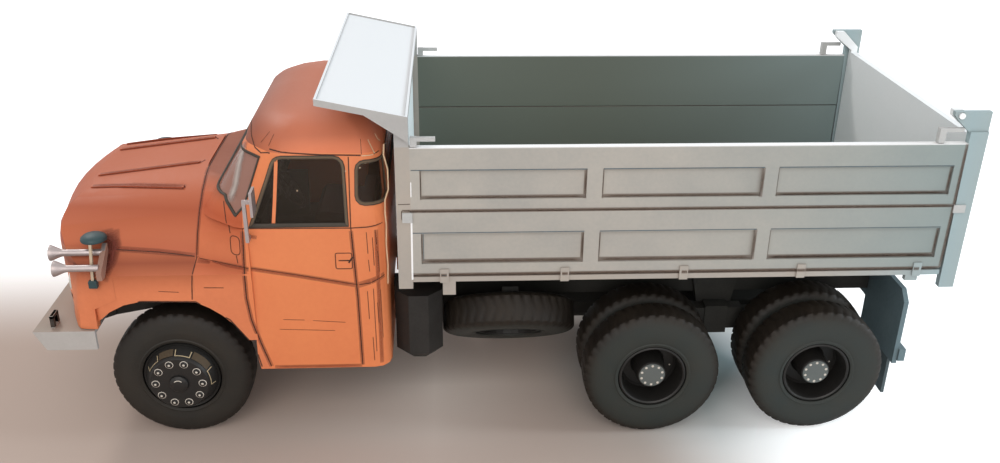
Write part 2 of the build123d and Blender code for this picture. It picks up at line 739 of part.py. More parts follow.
windscreen_zone = half_windscreen + mirrored(half_windscreen)
door_window_zone = side_prism(door_window, -body_limit, body_limit)
quarter_zone = side_prism(quarter_window, gutter_half_width - 4.7, body_limit)
rear_window_zone = block(cab_back_station - 6, 60, -17, 17, belt_height + 4.6, gutter_height - 2.7)
for zone in (windscreen_zone, door_window_zone, quarter_zone, mirrored(quarter_zone), rear_window_zone):
    cab_shell -= zone
door_outline = [(door_front_station, 82), (door_front_station, belt_height), (door_front_station - 0.6, 39.4),
                (door_front_station + 3.7, skirt_height - 1), (door_rear_station + 0.6, skirt_height - 1),
                (door_rear_station + 0.3, 39), (door_rear_station - 0.4, belt_height),
                (door_rear_station - 0.6, 82)]
door_zone = side_prism(door_outline, -body_limit, body_limit)
doors = cab_shell & door_zone
rest = cab_shell - door_zone
cab_middle = (door_front_station + door_rear_station) / 2
write("door_left", doors & block(0, 60, 0, body_limit, 0, 90))
write("door_right", doors & block(0, 60, -body_limit, 0, 0, 90))
write("cowl", rest & block(0, cab_middle, -body_limit, body_limit, 0, 90))
tunnel = block(cab_middle, 60, -rail_outer - 2.5, rail_outer + 2.5, 0, cab_floor_height)
write("cab_back", (rest & block(cab_middle, 60, -body_limit, body_limit, 0, 90)) - tunnel)
film = greenhouse(0.3) - greenhouse(0.6)
write("windscreen", film & windscreen_zone)
write("door_glass", film & door_window_zone)
write("rear_glass", film & quarter_zone, film & mirrored(quarter_zone), film & rear_window_zone)

# Roof: drawn-in outlines above the gutter
# Columns: share of the rise, set back at the front, narrower middle, half width taken off, set in at the rear
roof_table = ((0.0, 0.0, 0.0, 0.0, 1.0, 1.0), (0.3, 0.6, 1.2, 1.0, 1.4, 1.05), (0.57, 1.8, 3.0, 2.7, 2.5, 1.15),
              (0.78, 3.5, 4.8, 4.9, 4.0, 1.25), (0.92, 5.8, 7.2, 7.9, 6.2, 1.3),
              (1.0, 9.4, 10.4, 12.0, 10.0, 1.3))


def roof_form(inset):
    """Roof as a closed form, drawn in by this much."""
    rings = []
    for rise, back, narrower, off, rear_in, corner_share in roof_table:
        height = gutter_height + rise * roof_rise - (inset if rise else 0)
        rings.append(cab_outline(height, windscreen_top + back, windscreen_high_half - narrower,
                                 pillar_top + 0.6 * back, gutter_half_width - off, cab_back_station - rear_in,
                                 inset, corner_share * cab_corner - inset))
    return skinned(rings)


write("roof", roof_form(0) - roof_form(card))

# Cab floor and firewall
floor_top = cab_floor_height + 1.0
firewall_station = door_front_station - 4.6
firewall_half = cab_half_width - 6.4
cab_floor = block(door_front_station + 1, cab_back_station, -cab_half_width, cab_half_width, cab_floor_height,
                  floor_top)
cab_floor = cab_floor & lower_cab(card + seat_gap)
cab_floor += block(firewall_station, door_front_station + 1.2, -firewall_half, firewall_half, cab_floor_height,
                   floor_top)
cab_floor += block(firewall_station, firewall_station + 1.0, -firewall_half, firewall_half, cab_floor_height,
                   belt_height - 0.9)
write("cab_floor", cab_floor)

# Walls of the engine bay inside the front arches, with the radiator between them
bay_y = cab_half_width - 14.4
bay_front = -nose_reach + 5.8
bay_rear = firewall_station - seat_gap
bay_step = -7.5
bay_outline = [(bay_front, fender_bottom), (bumper_end + seat_gap, fender_bottom),
               (bumper_end + seat_gap, rail_bottom + 1.4), (bay_step, rail_bottom + 3.3),
               (bay_rear, rail_bottom + 3.3), (bay_rear, crease_seam_height + 3),
               (bay_front, crease_front_height - 1)]
bay_wall = side_prism(bay_outline, bay_y, bay_y + card)
radiator_station = bay_front + 2
radiator = block(radiator_station, radiator_station + card, -bay_y - 0.1, bay_y + 0.1, fender_bottom,
                 crease_front_height - 1.5)
write("bay_walls", fused([radiator, *both_sides(bay_wall)]))

# Inside of the cab
seat_rear = cab_back_station - 3.8
seat_profile = [(seat_rear - 18.4, floor_top), (seat_rear - 18.4, floor_top + 8.2),
                (seat_rear - 16.9, floor_top + 9.8), (seat_rear - 4.9, floor_top + 8.8),
                (seat_rear - 2.8, belt_height + 1.1), (seat_rear, belt_height + 1.1),
                (seat_rear - 1.8, floor_top)]
write("seats", *both_sides(side_prism(seat_profile, 6.0, cab_half_width - 10.4)))
dash_profile = [(firewall_station + 1, belt_height - 6.9), (firewall_station + 1, belt_height + 0.6),
                (firewall_station + 5, belt_height + 1.7), (firewall_station + 7.5, belt_height - 0.9),
                (firewall_station + 6.5, belt_height - 6.9)]
write("dashboard", side_prism(dash_profile, -cab_half_width + 8.4, cab_half_width - 8.4))
wheel_rake = 55.0
steering_radius = 5.6
steering_rim = 0.9
column_length = 5.4
steering_hub = (back_from_axle(firewall_station + 12.4), 16.0, belt_height + 1.3)
rim = extrude(RegularPolygon(steering_radius, 16), amount=steering_rim)
rim -= extrude(RegularPolygon(steering_radius - steering_rim, 16), amount=steering_rim)
spoke_length = 2 * steering_radius - 0.6
spokes = Pos(0, 0, steering_rim / 2) * (Box(spoke_length, 0.9, 0.6) + Box(0.9, spoke_length, 0.6))
column = Pos(0, 0, -column_length) * extrude(RegularPolygon(0.8, 8), amount=column_length + steering_rim)
write("steering_wheel", Pos(*steering_hub) * (Rot(0, -wheel_rake, 0) * (rim + spokes + column)))

# Bed: floor, front wall, framed boards, posts
write("bed_floor", block(bed_start_station + bed_wall, board_end, -bed_inside, bed_inside, bed_floor_bottom,
                         bed_floor_top))
write("front_wall", block(bed_start_station, bed_start_station + bed_wall, -bed_inside, bed_inside, bed_bottom,
                          canopy_rear_height - canopy_thickness - seat_gap))


def framed_board(z_0, z_1):
    """Side board with raised rails and stiles round its panels."""
    pieces = [block(board_start, board_end, bed_inside, bed_half_width - board_frame, z_0, z_1),
              block(board_start, board_end, bed_inside, bed_half_width, z_1 - top_rail, z_1),
              block(board_start, board_end, bed_inside, bed_half_width, z_0, z_0 + bottom_rail)]
    length = board_end - board_start
    stiles = [(board_start, board_start + end_stile), (board_end - end_stile, board_end)]
    for place in stile_places:
        stiles.append((board_start + place * length, board_start + place * length + stile_width))
    for start, end in stiles:
        pieces.append(block(start, end, bed_inside, bed_half_width, z_0, z_1))
    return fused(pieces)


for level, z_0, z_1 in (("lower", lower_board_bottom, bed_split_height - board_gap),
                        ("upper", bed_split_height + board_gap, bed_top_height - board_gap)):
    board = framed_board(z_0, z_1)
    write(f"{level}_board_left", board)
    write(f"{level}_board_right", mirrored(board))

front_post = block(bed_start_station, board_start, bed_inside, bed_half_width, post_foot_height, bed_top_height)
rear_post = side_prism([(board_end + rear_post_flare, rear_foot_height), (bed_end_station, rear_foot_height),
                        (bed_end_station, rear_post_top), (board_end, rear_post_top)], bed_inside,
                        bed_half_width)
ear_outline = [(bed_end_station, rear_post_top - 1), (bed_end_station, ear_top),
               (pivot_station - ear_margin - 0.6, ear_top),
               (pivot_station - ear_margin - 0.6, gate_pivot_height),
               (pivot_station, gate_pivot_height - ear_margin - gate_pin_radius),
               (board_end + 0.8, rear_post_top - 1)]
rear_post += side_prism(ear_outline, bed_inside, bed_half_width - 0.4)
pin_bore_radius = gate_pin_radius + running_gap
pin_bore = turned([(pin_bore_radius, bed_inside - 1), (pin_bore_radius, bed_half_width + 1)], 8)
rear_post -= Pos(back_from_axle(pivot_station), 0, gate_pivot_height) * pin_bore
write("bed_posts", *both_sides(front_post), *both_sides(rear_post))

# Hinge bars under the boards, with their straps and end tabs
bar_inner = bed_inside + seat_gap
bar_outer = bed_half_width - 0.1
tab_width = 3.0
bar_pieces = [block(board_start, board_end, bar_inner, bar_outer, bed_bottom, bed_bottom + hinge_bar_height)]
strap_first = board_start + 7.3
strap_pitch = (board_end - 5.8 - strap_first) / (strap_count - 1)
for index in range(strap_count):
    middle = strap_first + index * strap_pitch
    bar_pieces.append(block(middle - strap_width / 2, middle + strap_width / 2, bar_outer - 0.3, bed_half_width,
                            bed_bottom, bed_bottom + hinge_bar_height))
    bar_pieces.append(block(middle - strap_width / 2, middle + strap_width / 2, bed_half_width,
                            bed_half_width + strap_thickness, bed_bottom - 0.1, bed_bottom + 3.4))
for middle, drop in ((strap_first + 1.1, 3.5), (board_end - 6.6, 1.5)):
    bar_pieces.append(block(middle - tab_width / 2, middle + tab_width / 2, bar_inner, bar_outer,
                            bed_bottom - drop, bed_bottom + 0.4))
hinge_bar = fused(bar_pieces)
write("hinge_rails", hinge_bar, mirrored(hinge_bar))

# Latches: a knob and lever on each front post, a lever at each ear, and the pins between the boards
knob_height = 2.1
lever = 0.9
latch_y = bed_inside + 0.2
lever_length = 5.6
knob_length = 1.5
knob_start = board_start + 0.1
front_latch = block(knob_start, knob_start + knob_length, latch_y, latch_y + 1.4, bed_top_height,
                    bed_top_height + knob_height)
front_latch += block(knob_start + knob_length - 0.1, knob_start + lever_length, latch_y + 0.3,
                     latch_y + 0.3 + lever, bed_top_height + knob_height - lever, bed_top_height + knob_height)
lever_height = rear_post_top + 0.8
lever_end = board_end - 1.4
rear_latch = block(lever_end - lever_length, lever_end, latch_y + 0.3, latch_y + 0.3 + lever,
                   lever_height - lever, lever_height)
rear_latch += block(lever_end - lever_length, lever_end - lever_length + knob_length, latch_y, latch_y + 1.4,
                    bed_top_height, lever_height)
pins = [block(board_start - 2.0, board_start + 0.3, bed_half_width, bed_half_width + strap_thickness,
              bed_split_height - 2.6, bed_split_height - 0.2),
        block(board_end - 0.2, board_end + 2.6, bed_half_width, bed_half_width + strap_thickness,
              bed_split_height - 1.6, bed_split_height + 0.3)]
latch_solids = []
for solid in (front_latch, rear_latch, *pins):
    latch_solids += both_sides(solid)
write("latches", *latch_solids)

# Canopy: a sloping tray over the cab on two gussets
canopy_end = bed_start_station + front_post_width - 0.1
canopy_lip_station = canopy_end - canopy_reach


def slope_height(station):
    """Height of the canopy's upper face at a station."""
    return canopy_rear_height + canopy_rise * (canopy_end - station) / canopy_reach


canopy_slope = [(canopy_end, canopy_rear_height), (canopy_lip_station, canopy_lip_height),
                (canopy_lip_station, canopy_lip_height - canopy_thickness),
                (canopy_end, canopy_rear_height - canopy_thickness)]
tray_depth = 0.4
rim_rear = canopy_end - canopy_rim
rim_front = canopy_lip_station + canopy_rim
tray = [(rim_rear, slope_height(rim_rear) - tray_depth), (rim_front, slope_height(rim_front) - tray_depth),
        (rim_front, slope_height(rim_front) + 1), (rim_rear, slope_height(rim_rear) + 1)]
canopy = side_prism(canopy_slope, -canopy_half_width, canopy_half_width)
canopy -= side_prism(tray, -canopy_half_width + canopy_rim, canopy_half_width - canopy_rim)
gusset_outline = [(canopy_end, canopy_rear_height - canopy_thickness + 0.1),
                  (canopy_end - gusset_length,
                   slope_height(canopy_end - gusset_length) - canopy_thickness + 0.1),
                  (canopy_end, canopy_rear_height - gusset_drop)]
gusset = side_prism(gusset_outline, canopy_half_width - card, canopy_half_width)
foot_zone = block(bed_start_station, canopy_end, bed_inside, canopy_half_width, 0, canopy_lip_height)
inner_gusset = side_prism(gusset_outline, bed_half_width, canopy_half_width - card + 0.1) & foot_zone
foot = block(bed_start_station, canopy_end, bed_inside, bed_half_width, bed_top_height,
             canopy_rear_height - canopy_thickness + 0.1)
canopy = fused([canopy, *both_sides(gusset), *both_sides(inner_gusset), *both_sides(foot)])
write("canopy", canopy)

# Tipping subframe under the bed
subframe_start = bed_start_station + 2
subframe_end = tip_station + 3.0
beam = block(subframe_start, subframe_end, subframe_offset - subframe_width / 2,
             subframe_offset + subframe_width / 2, subframe_bottom, bearer_bottom)
bearer_first = bed_start_station + 4
bearer_pitch = (tip_station + 1.8 - bearer_first) / (bearer_count - 1)
bearer_half = bed_inside - bearer_setback
subframe_pieces = both_sides(beam)
for index in range(bearer_count):
    middle = bearer_first + index * bearer_pitch
    subframe_pieces.append(block(middle - bearer_width / 2, middle + bearer_width / 2, -bearer_half,
                                 bearer_half, bearer_bottom, bed_floor_bottom))
subframe = fused(subframe_pieces)
tip_bore_radius = tip_shaft_radius + running_gap
tip_bore = turned([(tip_bore_radius, -rail_outer), (tip_bore_radius, rail_outer)], 8)
subframe -= Pos(back_from_axle(tip_station), 0, tip_height) * tip_bore
write("bed_subframe", subframe)

# Tailgate, hung from the ears
gate_outer = bed_end_station - gate_setback
gate_inner = gate_outer - gate_thickness
gate_half = bed_inside - gate_gap
gate_top = bed_top_height + gate_rise
gate_pieces = [block(gate_inner, gate_outer, -gate_half, gate_half, bed_bottom, gate_top)]
arm_outline = [(gate_inner, gate_top - 4), (gate_inner, gate_top + 0.6),
               (pivot_station - 1.2, gate_pivot_height - 0.6),
               (pivot_station - 1.2, gate_pivot_height + 0.9), (pivot_station + 1.0, gate_pivot_height + 0.9),
               (gate_outer, gate_top + 1.6), (gate_outer, gate_top - 4)]
gate_arm = side_prism(arm_outline, gate_half - 1.6, gate_half)
gate_arm += cross_rod(pivot_station, gate_pivot_height, gate_half - 0.5, bed_half_width, gate_pin_radius)
gate_pieces += both_sides(gate_arm)
rib_span = 2 * gate_half - 8
for index in range(gate_rib_count):
    rib_y = -rib_span / 2 + index * rib_span / (gate_rib_count - 1)
    gate_pieces.append(block(gate_outer - 0.1, gate_outer + gate_rib, rib_y - 1.2, rib_y + 1.2, bed_bottom + 1,
                             gate_top - 1))
write("tailgate", fused(gate_pieces))

# Rear plate with lamp boxes, and the flaps below it
plate_end = rear_plate_station + plate_thickness
plate_bottom = wheel_radius - 1.3
plate_half = bed_half_width - 5.6
plate_middle_top = rail_top + 0.8
plate_top = rail_top + 4.6
plate_step = rail_outer + 0.6
plate_corner = 2.6
lamp_box = 3.4
plate_edge = [(plate_half, plate_bottom), (plate_half, plate_top - plate_corner),
              (plate_half - plate_corner, plate_top), (plate_step, plate_top), (plate_step, plate_middle_top)]
plate_outline = plate_edge + [(-y, z) for y, z in reversed(plate_edge)]
rear_plate = front_prism(plate_outline, rear_plate_station, plate_end)
rear_plate -= block(rear_plate_station - 1, plate_end + 1, -rail_outer + 0.5, rail_outer - 0.5, 10,
                    rail_bottom - 2.4)
for side_box in both_sides(block(plate_end - 0.1, plate_end + 1.6, plate_half - lamp_box, plate_half + 0.6,
                                 plate_bottom + 1.0, plate_bottom + 1.0 + lamp_box)):
    rear_plate += side_box
write("rear_plate", rear_plate)
flap_drop = 10.6
flap = block(rear_plate_station, plate_end - 0.4, rail_outer + 0.5, plate_half - 2.4, plate_bottom - flap_drop,
             plate_bottom)
write("mud_flaps", *both_sides(flap))

# Air pot behind the cab, fuel tank on the other side, each on a bracket to its rail
pot_y = cab_half_width - 8.9
pot_height = 18.4
pot_bottom = rail_bottom - 7.4
pot = extrude(RegularPolygon(pot_radius, 8, rotation=22.5), amount=pot_height)
pot = chamfer(pot.edges().group_by(Axis.Z)[0], length=2.2)
pot = Pos(back_from_axle(pot_station), pot_y, pot_bottom) * pot
pot += block(pot_station - 2, pot_station + 2, rail_outer, pot_y - 4, rail_bottom + 1, rail_top - 0.4)
write("air_pot", pot)
tank_length = 26.0
tank_size = 14.0
tank_chamfer = 2.6
tank_station = (cab_back_station + axle_stations[1] - wheel_radius) / 2
tank_y = -rail_outer - 6.5 - tank_size / 2
tank_z = rail_bottom + 2.6
tank_corners = [(tank_y + side_y * (tank_size / 2 - cut_y), tank_z + side_z * (tank_size / 2 - cut_z))
                for side_y, side_z, cut_y, cut_z in (
                    (-1, -1, 0, tank_chamfer), (-1, -1, tank_chamfer, 0), (1, -1, tank_chamfer, 0),
                    (1, -1, 0, tank_chamfer), (1, 1, 0, tank_chamfer), (1, 1, tank_chamfer, 0),
                    (-1, 1, tank_chamfer, 0), (-1, 1, 0, tank_chamfer))]
tank = front_prism(tank_corners, tank_station - tank_length / 2, tank_station + tank_length / 2)
tank += block(tank_station - 2, tank_station + 2, tank_y + tank_size / 2 - 0.5, -rail_outer, rail_bottom + 1,
              rail_top - 0.4)
write("fuel_tank", tank)

# Spare wheel, leaning face outward under the bed
spare_y = rail_outer + 11.5
spare_z = rail_bottom - 5.4


def spare_place(shape):
    """Lean a wheel part from the frame's origin into its place under the bed."""
    return Pos(back_from_axle(spare_station), spare_y, spare_z) * (Rot(-spare_tilt, 0, 0) * shape)


write("spare_tyre", spare_place(tyre(0.0, rim_radius)))
spare_disc = turned([(rim_radius, -tyre_width + 1.8), (rim_radius, -rim_edge)], wheel_sides)
spare_disc -= turned([(rim_radius - 1.2, -tyre_width + 3.4), (rim_radius - rim_wall, 0)], wheel_sides)
write("spare_disc", spare_place(spare_disc))
carrier_depth = tyre_width + seat_gap
carrier = Pos(0, -carrier_depth - 0.6, 0.5) * Box(4.0, 1.2, 21.0)
carrier += turned([(2.4, -carrier_depth - 0.1), (2.4, -tyre_width + 1.5)], 8)
hanger = block(spare_station - 2, spare_station + 2, rail_inner, rail_outer, rail_bottom - 2.2, rail_bottom)
write("spare_carrier", spare_place(carrier) + hanger)

# Horns: two trumpets on a bracket that stands on the left fender
horn_rear = -nose_reach + 15.5
bracket_y, bracket_z = crease_at(horn_rear)
bell = 1.85
# Columns: share of the length, share of the bell's radius
horn_table = ((0.0, 1.0), (0.085, 0.68), (0.22, 0.4), (0.42, 0.27), (1.0, 0.27))
horn_pieces = []
# Columns: width and height from the bracket's foot, length as a share of the longer horn's
for horn_y, horn_z, length_share in ((1.6, 0.3, 1.0), (5.8, -1.7, 0.84)):
    rings = []
    for along, share in horn_table:
        station = horn_rear - horn_length * length_share * (1 - along)
        rings.append([(back_from_axle(station), bracket_y + horn_y + y, bracket_z + horn_z + z)
                      for y, z in ring_points(share * bell, 12)])
    horn_pieces.append(skinned(rings))
bracket = [(bracket_y + 0.3, bracket_z + seat_gap), (bracket_y + 0.3, bracket_z + 2.0),
           (cab_half_width + 2.2, bracket_z - 2.4), (cab_half_width + 2.2, fender_shoulder),
           (cab_half_width + seat_gap, fender_shoulder)]
horn_pieces.append(front_prism(bracket, horn_rear - 0.2, horn_rear + 0.6))
write("horns", fused(horn_pieces))

# Marker lamps: a flat cap on a stalk outside each fender
marker_station = horn_rear - 1.9
cap_y = cab_half_width - 4.2
cap_z = bracket_z + 3.1
marker_cap = 2.95
rings = []
for share, rise in ((1.0, 0.0), (0.97, 0.7), (0.68, 1.6)):
    rings.append([(back_from_axle(marker_station) + x, cap_y + y, cap_z + rise)
                  for x, y in ring_points(share * marker_cap, 12)])
stalk_y = cab_half_width + 0.4
stalk_lean = 2.5
stalk_outline = [(stalk_y, fender_shoulder - 1.0), (stalk_y + 0.8, fender_shoulder - 1.0),
                 (stalk_y + 0.8 - stalk_lean, cap_z + 0.3), (stalk_y - stalk_lean, cap_z + 0.3)]
stalk = front_prism(stalk_outline, marker_station - 0.4, marker_station + 0.4)
marker_foot = block(marker_station - 1.0, marker_station + 1.0, cab_half_width + 0.1, stalk_y + 0.9,
                    fender_shoulder - 2.6, fender_shoulder - 0.6)
write("marker_lamps", *both_sides(skinned(rings) + stalk + marker_foot))

# Mirrors on bent arms at the door's front edge
mirror_station = door_front_station + 1.0
arm_y = cab_half_width + 0.9
mirror_foot = belt_height - 2.4
mirror_arm = 0.8
mirror_height = 5.8
mirror_bottom = belt_height + 4.9
mirror_piece = block(mirror_station, mirror_station + mirror_arm, arm_y, arm_y + mirror_arm, mirror_foot,
                     mirror_bottom + 3.0)
mirror_piece += block(mirror_station, mirror_station + mirror_arm, belt_half_width + 0.2, arm_y + 0.4,
                      mirror_foot, mirror_foot + mirror_arm)
mirror_piece += block(mirror_station, mirror_station + 2.6, arm_y, arm_y + mirror_arm, mirror_bottom + 2.2,
                      mirror_bottom + 3.0)
mirror_piece += block(mirror_station + 2.2, mirror_station + 2.8, cab_half_width, cab_half_width + mirror_reach,
                      mirror_bottom, mirror_bottom + mirror_height)
write("mirrors", *both_sides(mirror_piece))
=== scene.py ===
"""Looks of a card model dump truck around its fixed frame: printed card, laminated tyres and paper edges."""
import logging
import math
from collections.abc import Callable, Iterable, Sequence
from dataclasses import dataclass, field
from enum import Enum

import bpy
from mathutils import Matrix, Vector
from mathutils.bvhtree import BVHTree


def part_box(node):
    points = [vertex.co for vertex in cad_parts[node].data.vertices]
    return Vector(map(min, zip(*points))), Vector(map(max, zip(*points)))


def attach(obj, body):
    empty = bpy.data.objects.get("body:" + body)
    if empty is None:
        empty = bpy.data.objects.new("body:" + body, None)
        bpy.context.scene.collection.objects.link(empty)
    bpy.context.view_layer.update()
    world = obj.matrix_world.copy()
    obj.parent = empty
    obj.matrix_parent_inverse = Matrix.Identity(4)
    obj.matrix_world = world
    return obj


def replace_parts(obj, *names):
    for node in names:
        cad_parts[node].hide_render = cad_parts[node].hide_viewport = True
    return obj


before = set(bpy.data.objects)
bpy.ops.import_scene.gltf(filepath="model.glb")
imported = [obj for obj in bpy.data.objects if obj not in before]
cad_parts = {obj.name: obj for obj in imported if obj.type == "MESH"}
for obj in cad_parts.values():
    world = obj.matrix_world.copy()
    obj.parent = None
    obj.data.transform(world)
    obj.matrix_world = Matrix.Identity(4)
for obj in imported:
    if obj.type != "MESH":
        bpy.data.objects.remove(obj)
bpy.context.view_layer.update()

log = logging.getLogger("card_truck")

MM = 0.001
IMAGE_WIDTH = 1000
SENSOR_WIDTH = 36.0
RELIEF_DEPTH = 0.1 * MM

Colour = tuple[float, float, float]
Point = tuple[float, float, float]
Socket = bpy.types.NodeSocket


# Places read from the frame
def box_mm(node: str) -> tuple[Vector, Vector]:
    """Give a CAD node's lowest and highest corners in millimetres."""
    low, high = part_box(node)
    return low / MM, high / MM


def middle_mm(node: str) -> Vector:
    """Give the middle of a CAD node's box in millimetres."""
    low, high = box_mm(node)
    return (low + high) / 2


AXLE_X = middle_mm("front_axle").x
WHEEL_RADIUS = middle_mm("front_axle").z
CAB_HALF = box_mm("fender_left")[1].y
BED_HALF = box_mm("bed_posts")[1].y
BED_BOTTOM = box_mm("lower_board_left")[0].z
BED_SPLIT = box_mm("upper_board_left")[0].z
BED_TOP = box_mm("upper_board_left")[1].z
BOARD_START = AXLE_X - box_mm("upper_board_left")[1].x
BOARD_END = AXLE_X - box_mm("upper_board_left")[0].x


def place(station: float, y: float, z: float) -> Vector:
    """Turn a distance behind the front axle, a width and a height, in millimetres, into metres of the frame.

    Args:
        station: Distance behind the front axle.
        y: Distance to the truck's left.
        z: Height over the floor.

    Returns:
        The point in the frame.
    """
    return Vector((AXLE_X - station, y, z)) * MM


def printed(red: int, green: int, blue: int) -> Colour:
    """Turn a printed colour into the linear colour that a shader takes.

    Args:
        red: Red of 0 to 255.
        green: Green of 0 to 255.
        blue: Blue of 0 to 255.

    Returns:
        The linear colour.
    """
    channels = []
    for value in (red, green, blue):
        share = value / 255
        channels.append(share / 12.92 if share <= 0.04045 else ((share + 0.055) / 1.055) ** 2.4)
    return channels[0], channels[1], channels[2]


def round_axle(radius: float, angle: float, y: float) -> Vector:
    """Give a point round an axle along Y, from millimetres and radians, in metres."""
    return Vector((radius * math.cos(angle), y, radius * math.sin(angle))) * MM


# Node graphs
class Graph:
    """Short calls for adding and joining the nodes of one tree."""

    def __init__(self, tree: bpy.types.NodeTree) -> None:
        """Keep the tree that the calls fill."""
        self.tree = tree

    def add(self, kind: str, **settings: object) -> bpy.types.Node:
        """Add a node and give it its settings.

        Args:
            kind: Blender's name of the node type.
            settings: Properties of the node, by name.

        Returns:
            The new node.
        """
        node = self.tree.nodes.new(kind)
        for name, value in settings.items():
            setattr(node, name, value)
        return node

    def feed(self, socket: Socket, value: object) -> None:
        """Join a socket's input to another socket, or set it to a plain value."""
        if isinstance(value, bpy.types.NodeSocket):
            self.tree.links.new(value, socket)
        else:
            socket.default_value = value

    def math(self, operation: str, first: object, second: object = 0.0, clamp: bool = False) -> Socket:
        """Add a math node.

        Args:
            operation: Blender's name of the operation.
            first: First value or socket.
            second: Second value or socket.
            clamp: Whether the result stays between 0 and 1.

        Returns:
            The result's socket.
        """
        node = self.add("ShaderNodeMath", operation=operation, use_clamp=clamp)
        self.feed(node.inputs[0], first)
        self.feed(node.inputs[1], second)
        return node.outputs[0]

    def mix(self, mask: object, first: object, second: object) -> Socket:
        """Mix two colours by a mask.

        Args:
            mask: 0 for the first colour and 1 for the second.
            first: First colour or socket.
            second: Second colour or socket.

        Returns:
            The mixed colour's socket.
        """
        node = self.add("ShaderNodeMix", data_type="RGBA")
        self.feed(node.inputs[0], mask)
        for socket, value in ((node.inputs[6], first), (node.inputs[7], second)):
            self.feed(socket, (*value, 1.0) if isinstance(value, tuple) else value)
        return node.outputs[2]

    def group(self, tree: bpy.types.NodeTree, **values: object) -> bpy.types.Node:
        """Place a node group and feed its inputs.

        Args:
            tree: The group's tree.
            values: Values or sockets by input name, with _ for a space.

        Returns:
            The group's node.
        """
        node = self.add("ShaderNodeGroup", node_tree=tree)
        for name, value in values.items():
            self.feed(node.inputs[name.replace("_", " ")], value)
        return node

    def parts(self, vector: Socket) -> bpy.types.Node:
        """Split a vector into X, Y and Z.

        Args:
            vector: The vector's socket.

        Returns:
            The node, with outputs X, Y and Z.
        """
        node = self.add("ShaderNodeSeparateXYZ")
        self.feed(node.inputs[0], vector)
        return node

    def relief(self, shader: bpy.types.Node, height: Socket, strength: float) -> None:
        """Feed a shader's normal from a faint relief.

        Args:
            shader: The Principled node.
            height: Height of the relief, from 0 to 1.
            strength: Strength of the relief.
        """
        bump = self.add("ShaderNodeBump")
        bump.inputs["Strength"].default_value = strength
        bump.inputs["Distance"].default_value = RELIEF_DEPTH
        self.feed(bump.inputs["Height"], height)
        self.feed(shader.inputs["Normal"], bump.outputs["Normal"])


@dataclass(frozen=True)
class Port:
    """One named input of a node group, with the value that it has when nothing feeds it."""

    name: str
    kind: str
    default: float | None = None


def new_group(name: str, inputs: Sequence[Port],
              outputs: Sequence[str]) -> tuple[Graph, bpy.types.Node, bpy.types.Node]:
    """Start a shader node group with named sockets.

    Args:
        name: Name of the group.
        inputs: Its inputs.
        outputs: Names of its outputs, all plain values.

    Returns:
        The group's graph, its input node and its output node.
    """
    tree = bpy.data.node_groups.new(name, "ShaderNodeTree")
    for port in inputs:
        socket = tree.interface.new_socket(port.name, in_out="INPUT", socket_type=port.kind)
        if port.default is not None:
            socket.default_value = port.default
    for output in outputs:
        tree.interface.new_socket(output, in_out="OUTPUT", socket_type="NodeSocketFloat")
    graph = Graph(tree)
    return graph, graph.add("NodeGroupInput"), graph.add("NodeGroupOutput")


FLOAT = "NodeSocketFloat"
VECTOR = "NodeSocketVector"


def mottle_group() -> bpy.types.NodeTree:
    """Build the uneven tone and the fibre relief of printed card.

    Returns:
        A group that gives a tone from 0 to 1 and a height.
    """
    graph, given, result = new_group("card_mottle", (Port("Vector", VECTOR), Port("Scale", FLOAT, 90.0)),
                                     ("Tone", "Height"))
    fibres_per_cloud = 14.0
    cloud_share = 0.7
    darkest = 0.3
    contrast = 2.5
    cloud = graph.add("ShaderNodeTexNoise")
    fibre = graph.add("ShaderNodeTexNoise")
    for noise, detail, factor in ((cloud, 3.0, 1.0), (fibre, 2.0, fibres_per_cloud)):
        noise.inputs["Detail"].default_value = detail
        graph.feed(noise.inputs["Vector"], given.outputs["Vector"])
        graph.feed(noise.inputs["Scale"], graph.math("MULTIPLY", given.outputs["Scale"], factor))
    share = graph.math("MULTIPLY", cloud.outputs[0], cloud_share)
    tone = graph.math("ADD", share, graph.math("MULTIPLY", fibre.outputs[0], 1 - cloud_share))
    tone = graph.math("MULTIPLY", graph.math("SUBTRACT", tone, darkest), contrast, clamp=True)
    graph.feed(result.inputs["Tone"], tone)
    graph.feed(result.inputs["Height"], fibre.outputs[0])
    return graph.tree


def corner_group() -> bpy.types.NodeTree:
    """Build the painted shade that darkens inner corners, found by ambient occlusion.

    Returns:
        A group that gives a mask of the corners.
    """
    graph, given, result = new_group("corner_shade", (Port("Reach", FLOAT, 0.003), Port("Amount", FLOAT, 1.0)),
                                     ("Mask",))
    closeness = graph.add("ShaderNodeAmbientOcclusion", samples=8)
    graph.feed(closeness.inputs["Distance"], given.outputs["Reach"])
    hidden = graph.math("SUBTRACT", 1.0, closeness.outputs["AO"])
    graph.feed(result.inputs["Mask"], graph.math("MULTIPLY", hidden, given.outputs["Amount"], clamp=True))
    return graph.tree


def band_group() -> bpy.types.NodeTree:
    """Build a soft band across one coordinate.

    Returns:
        A group that gives a mask, 1 in the band's middle and 0 outside it.
    """
    graph, given, result = new_group(
        "soft_band", (Port("Value", FLOAT), Port("Middle", FLOAT), Port("Half Width", FLOAT, 0.01)), ("Mask",))
    falloff = 1.6
    away = graph.math("ABSOLUTE", graph.math("SUBTRACT", given.outputs["Value"], given.outputs["Middle"]))
    share = graph.math("SUBTRACT", 1.0, graph.math("DIVIDE", away, given.outputs["Half Width"]), clamp=True)
    graph.feed(result.inputs["Mask"], graph.math("POWER", share, falloff))
    return graph.tree


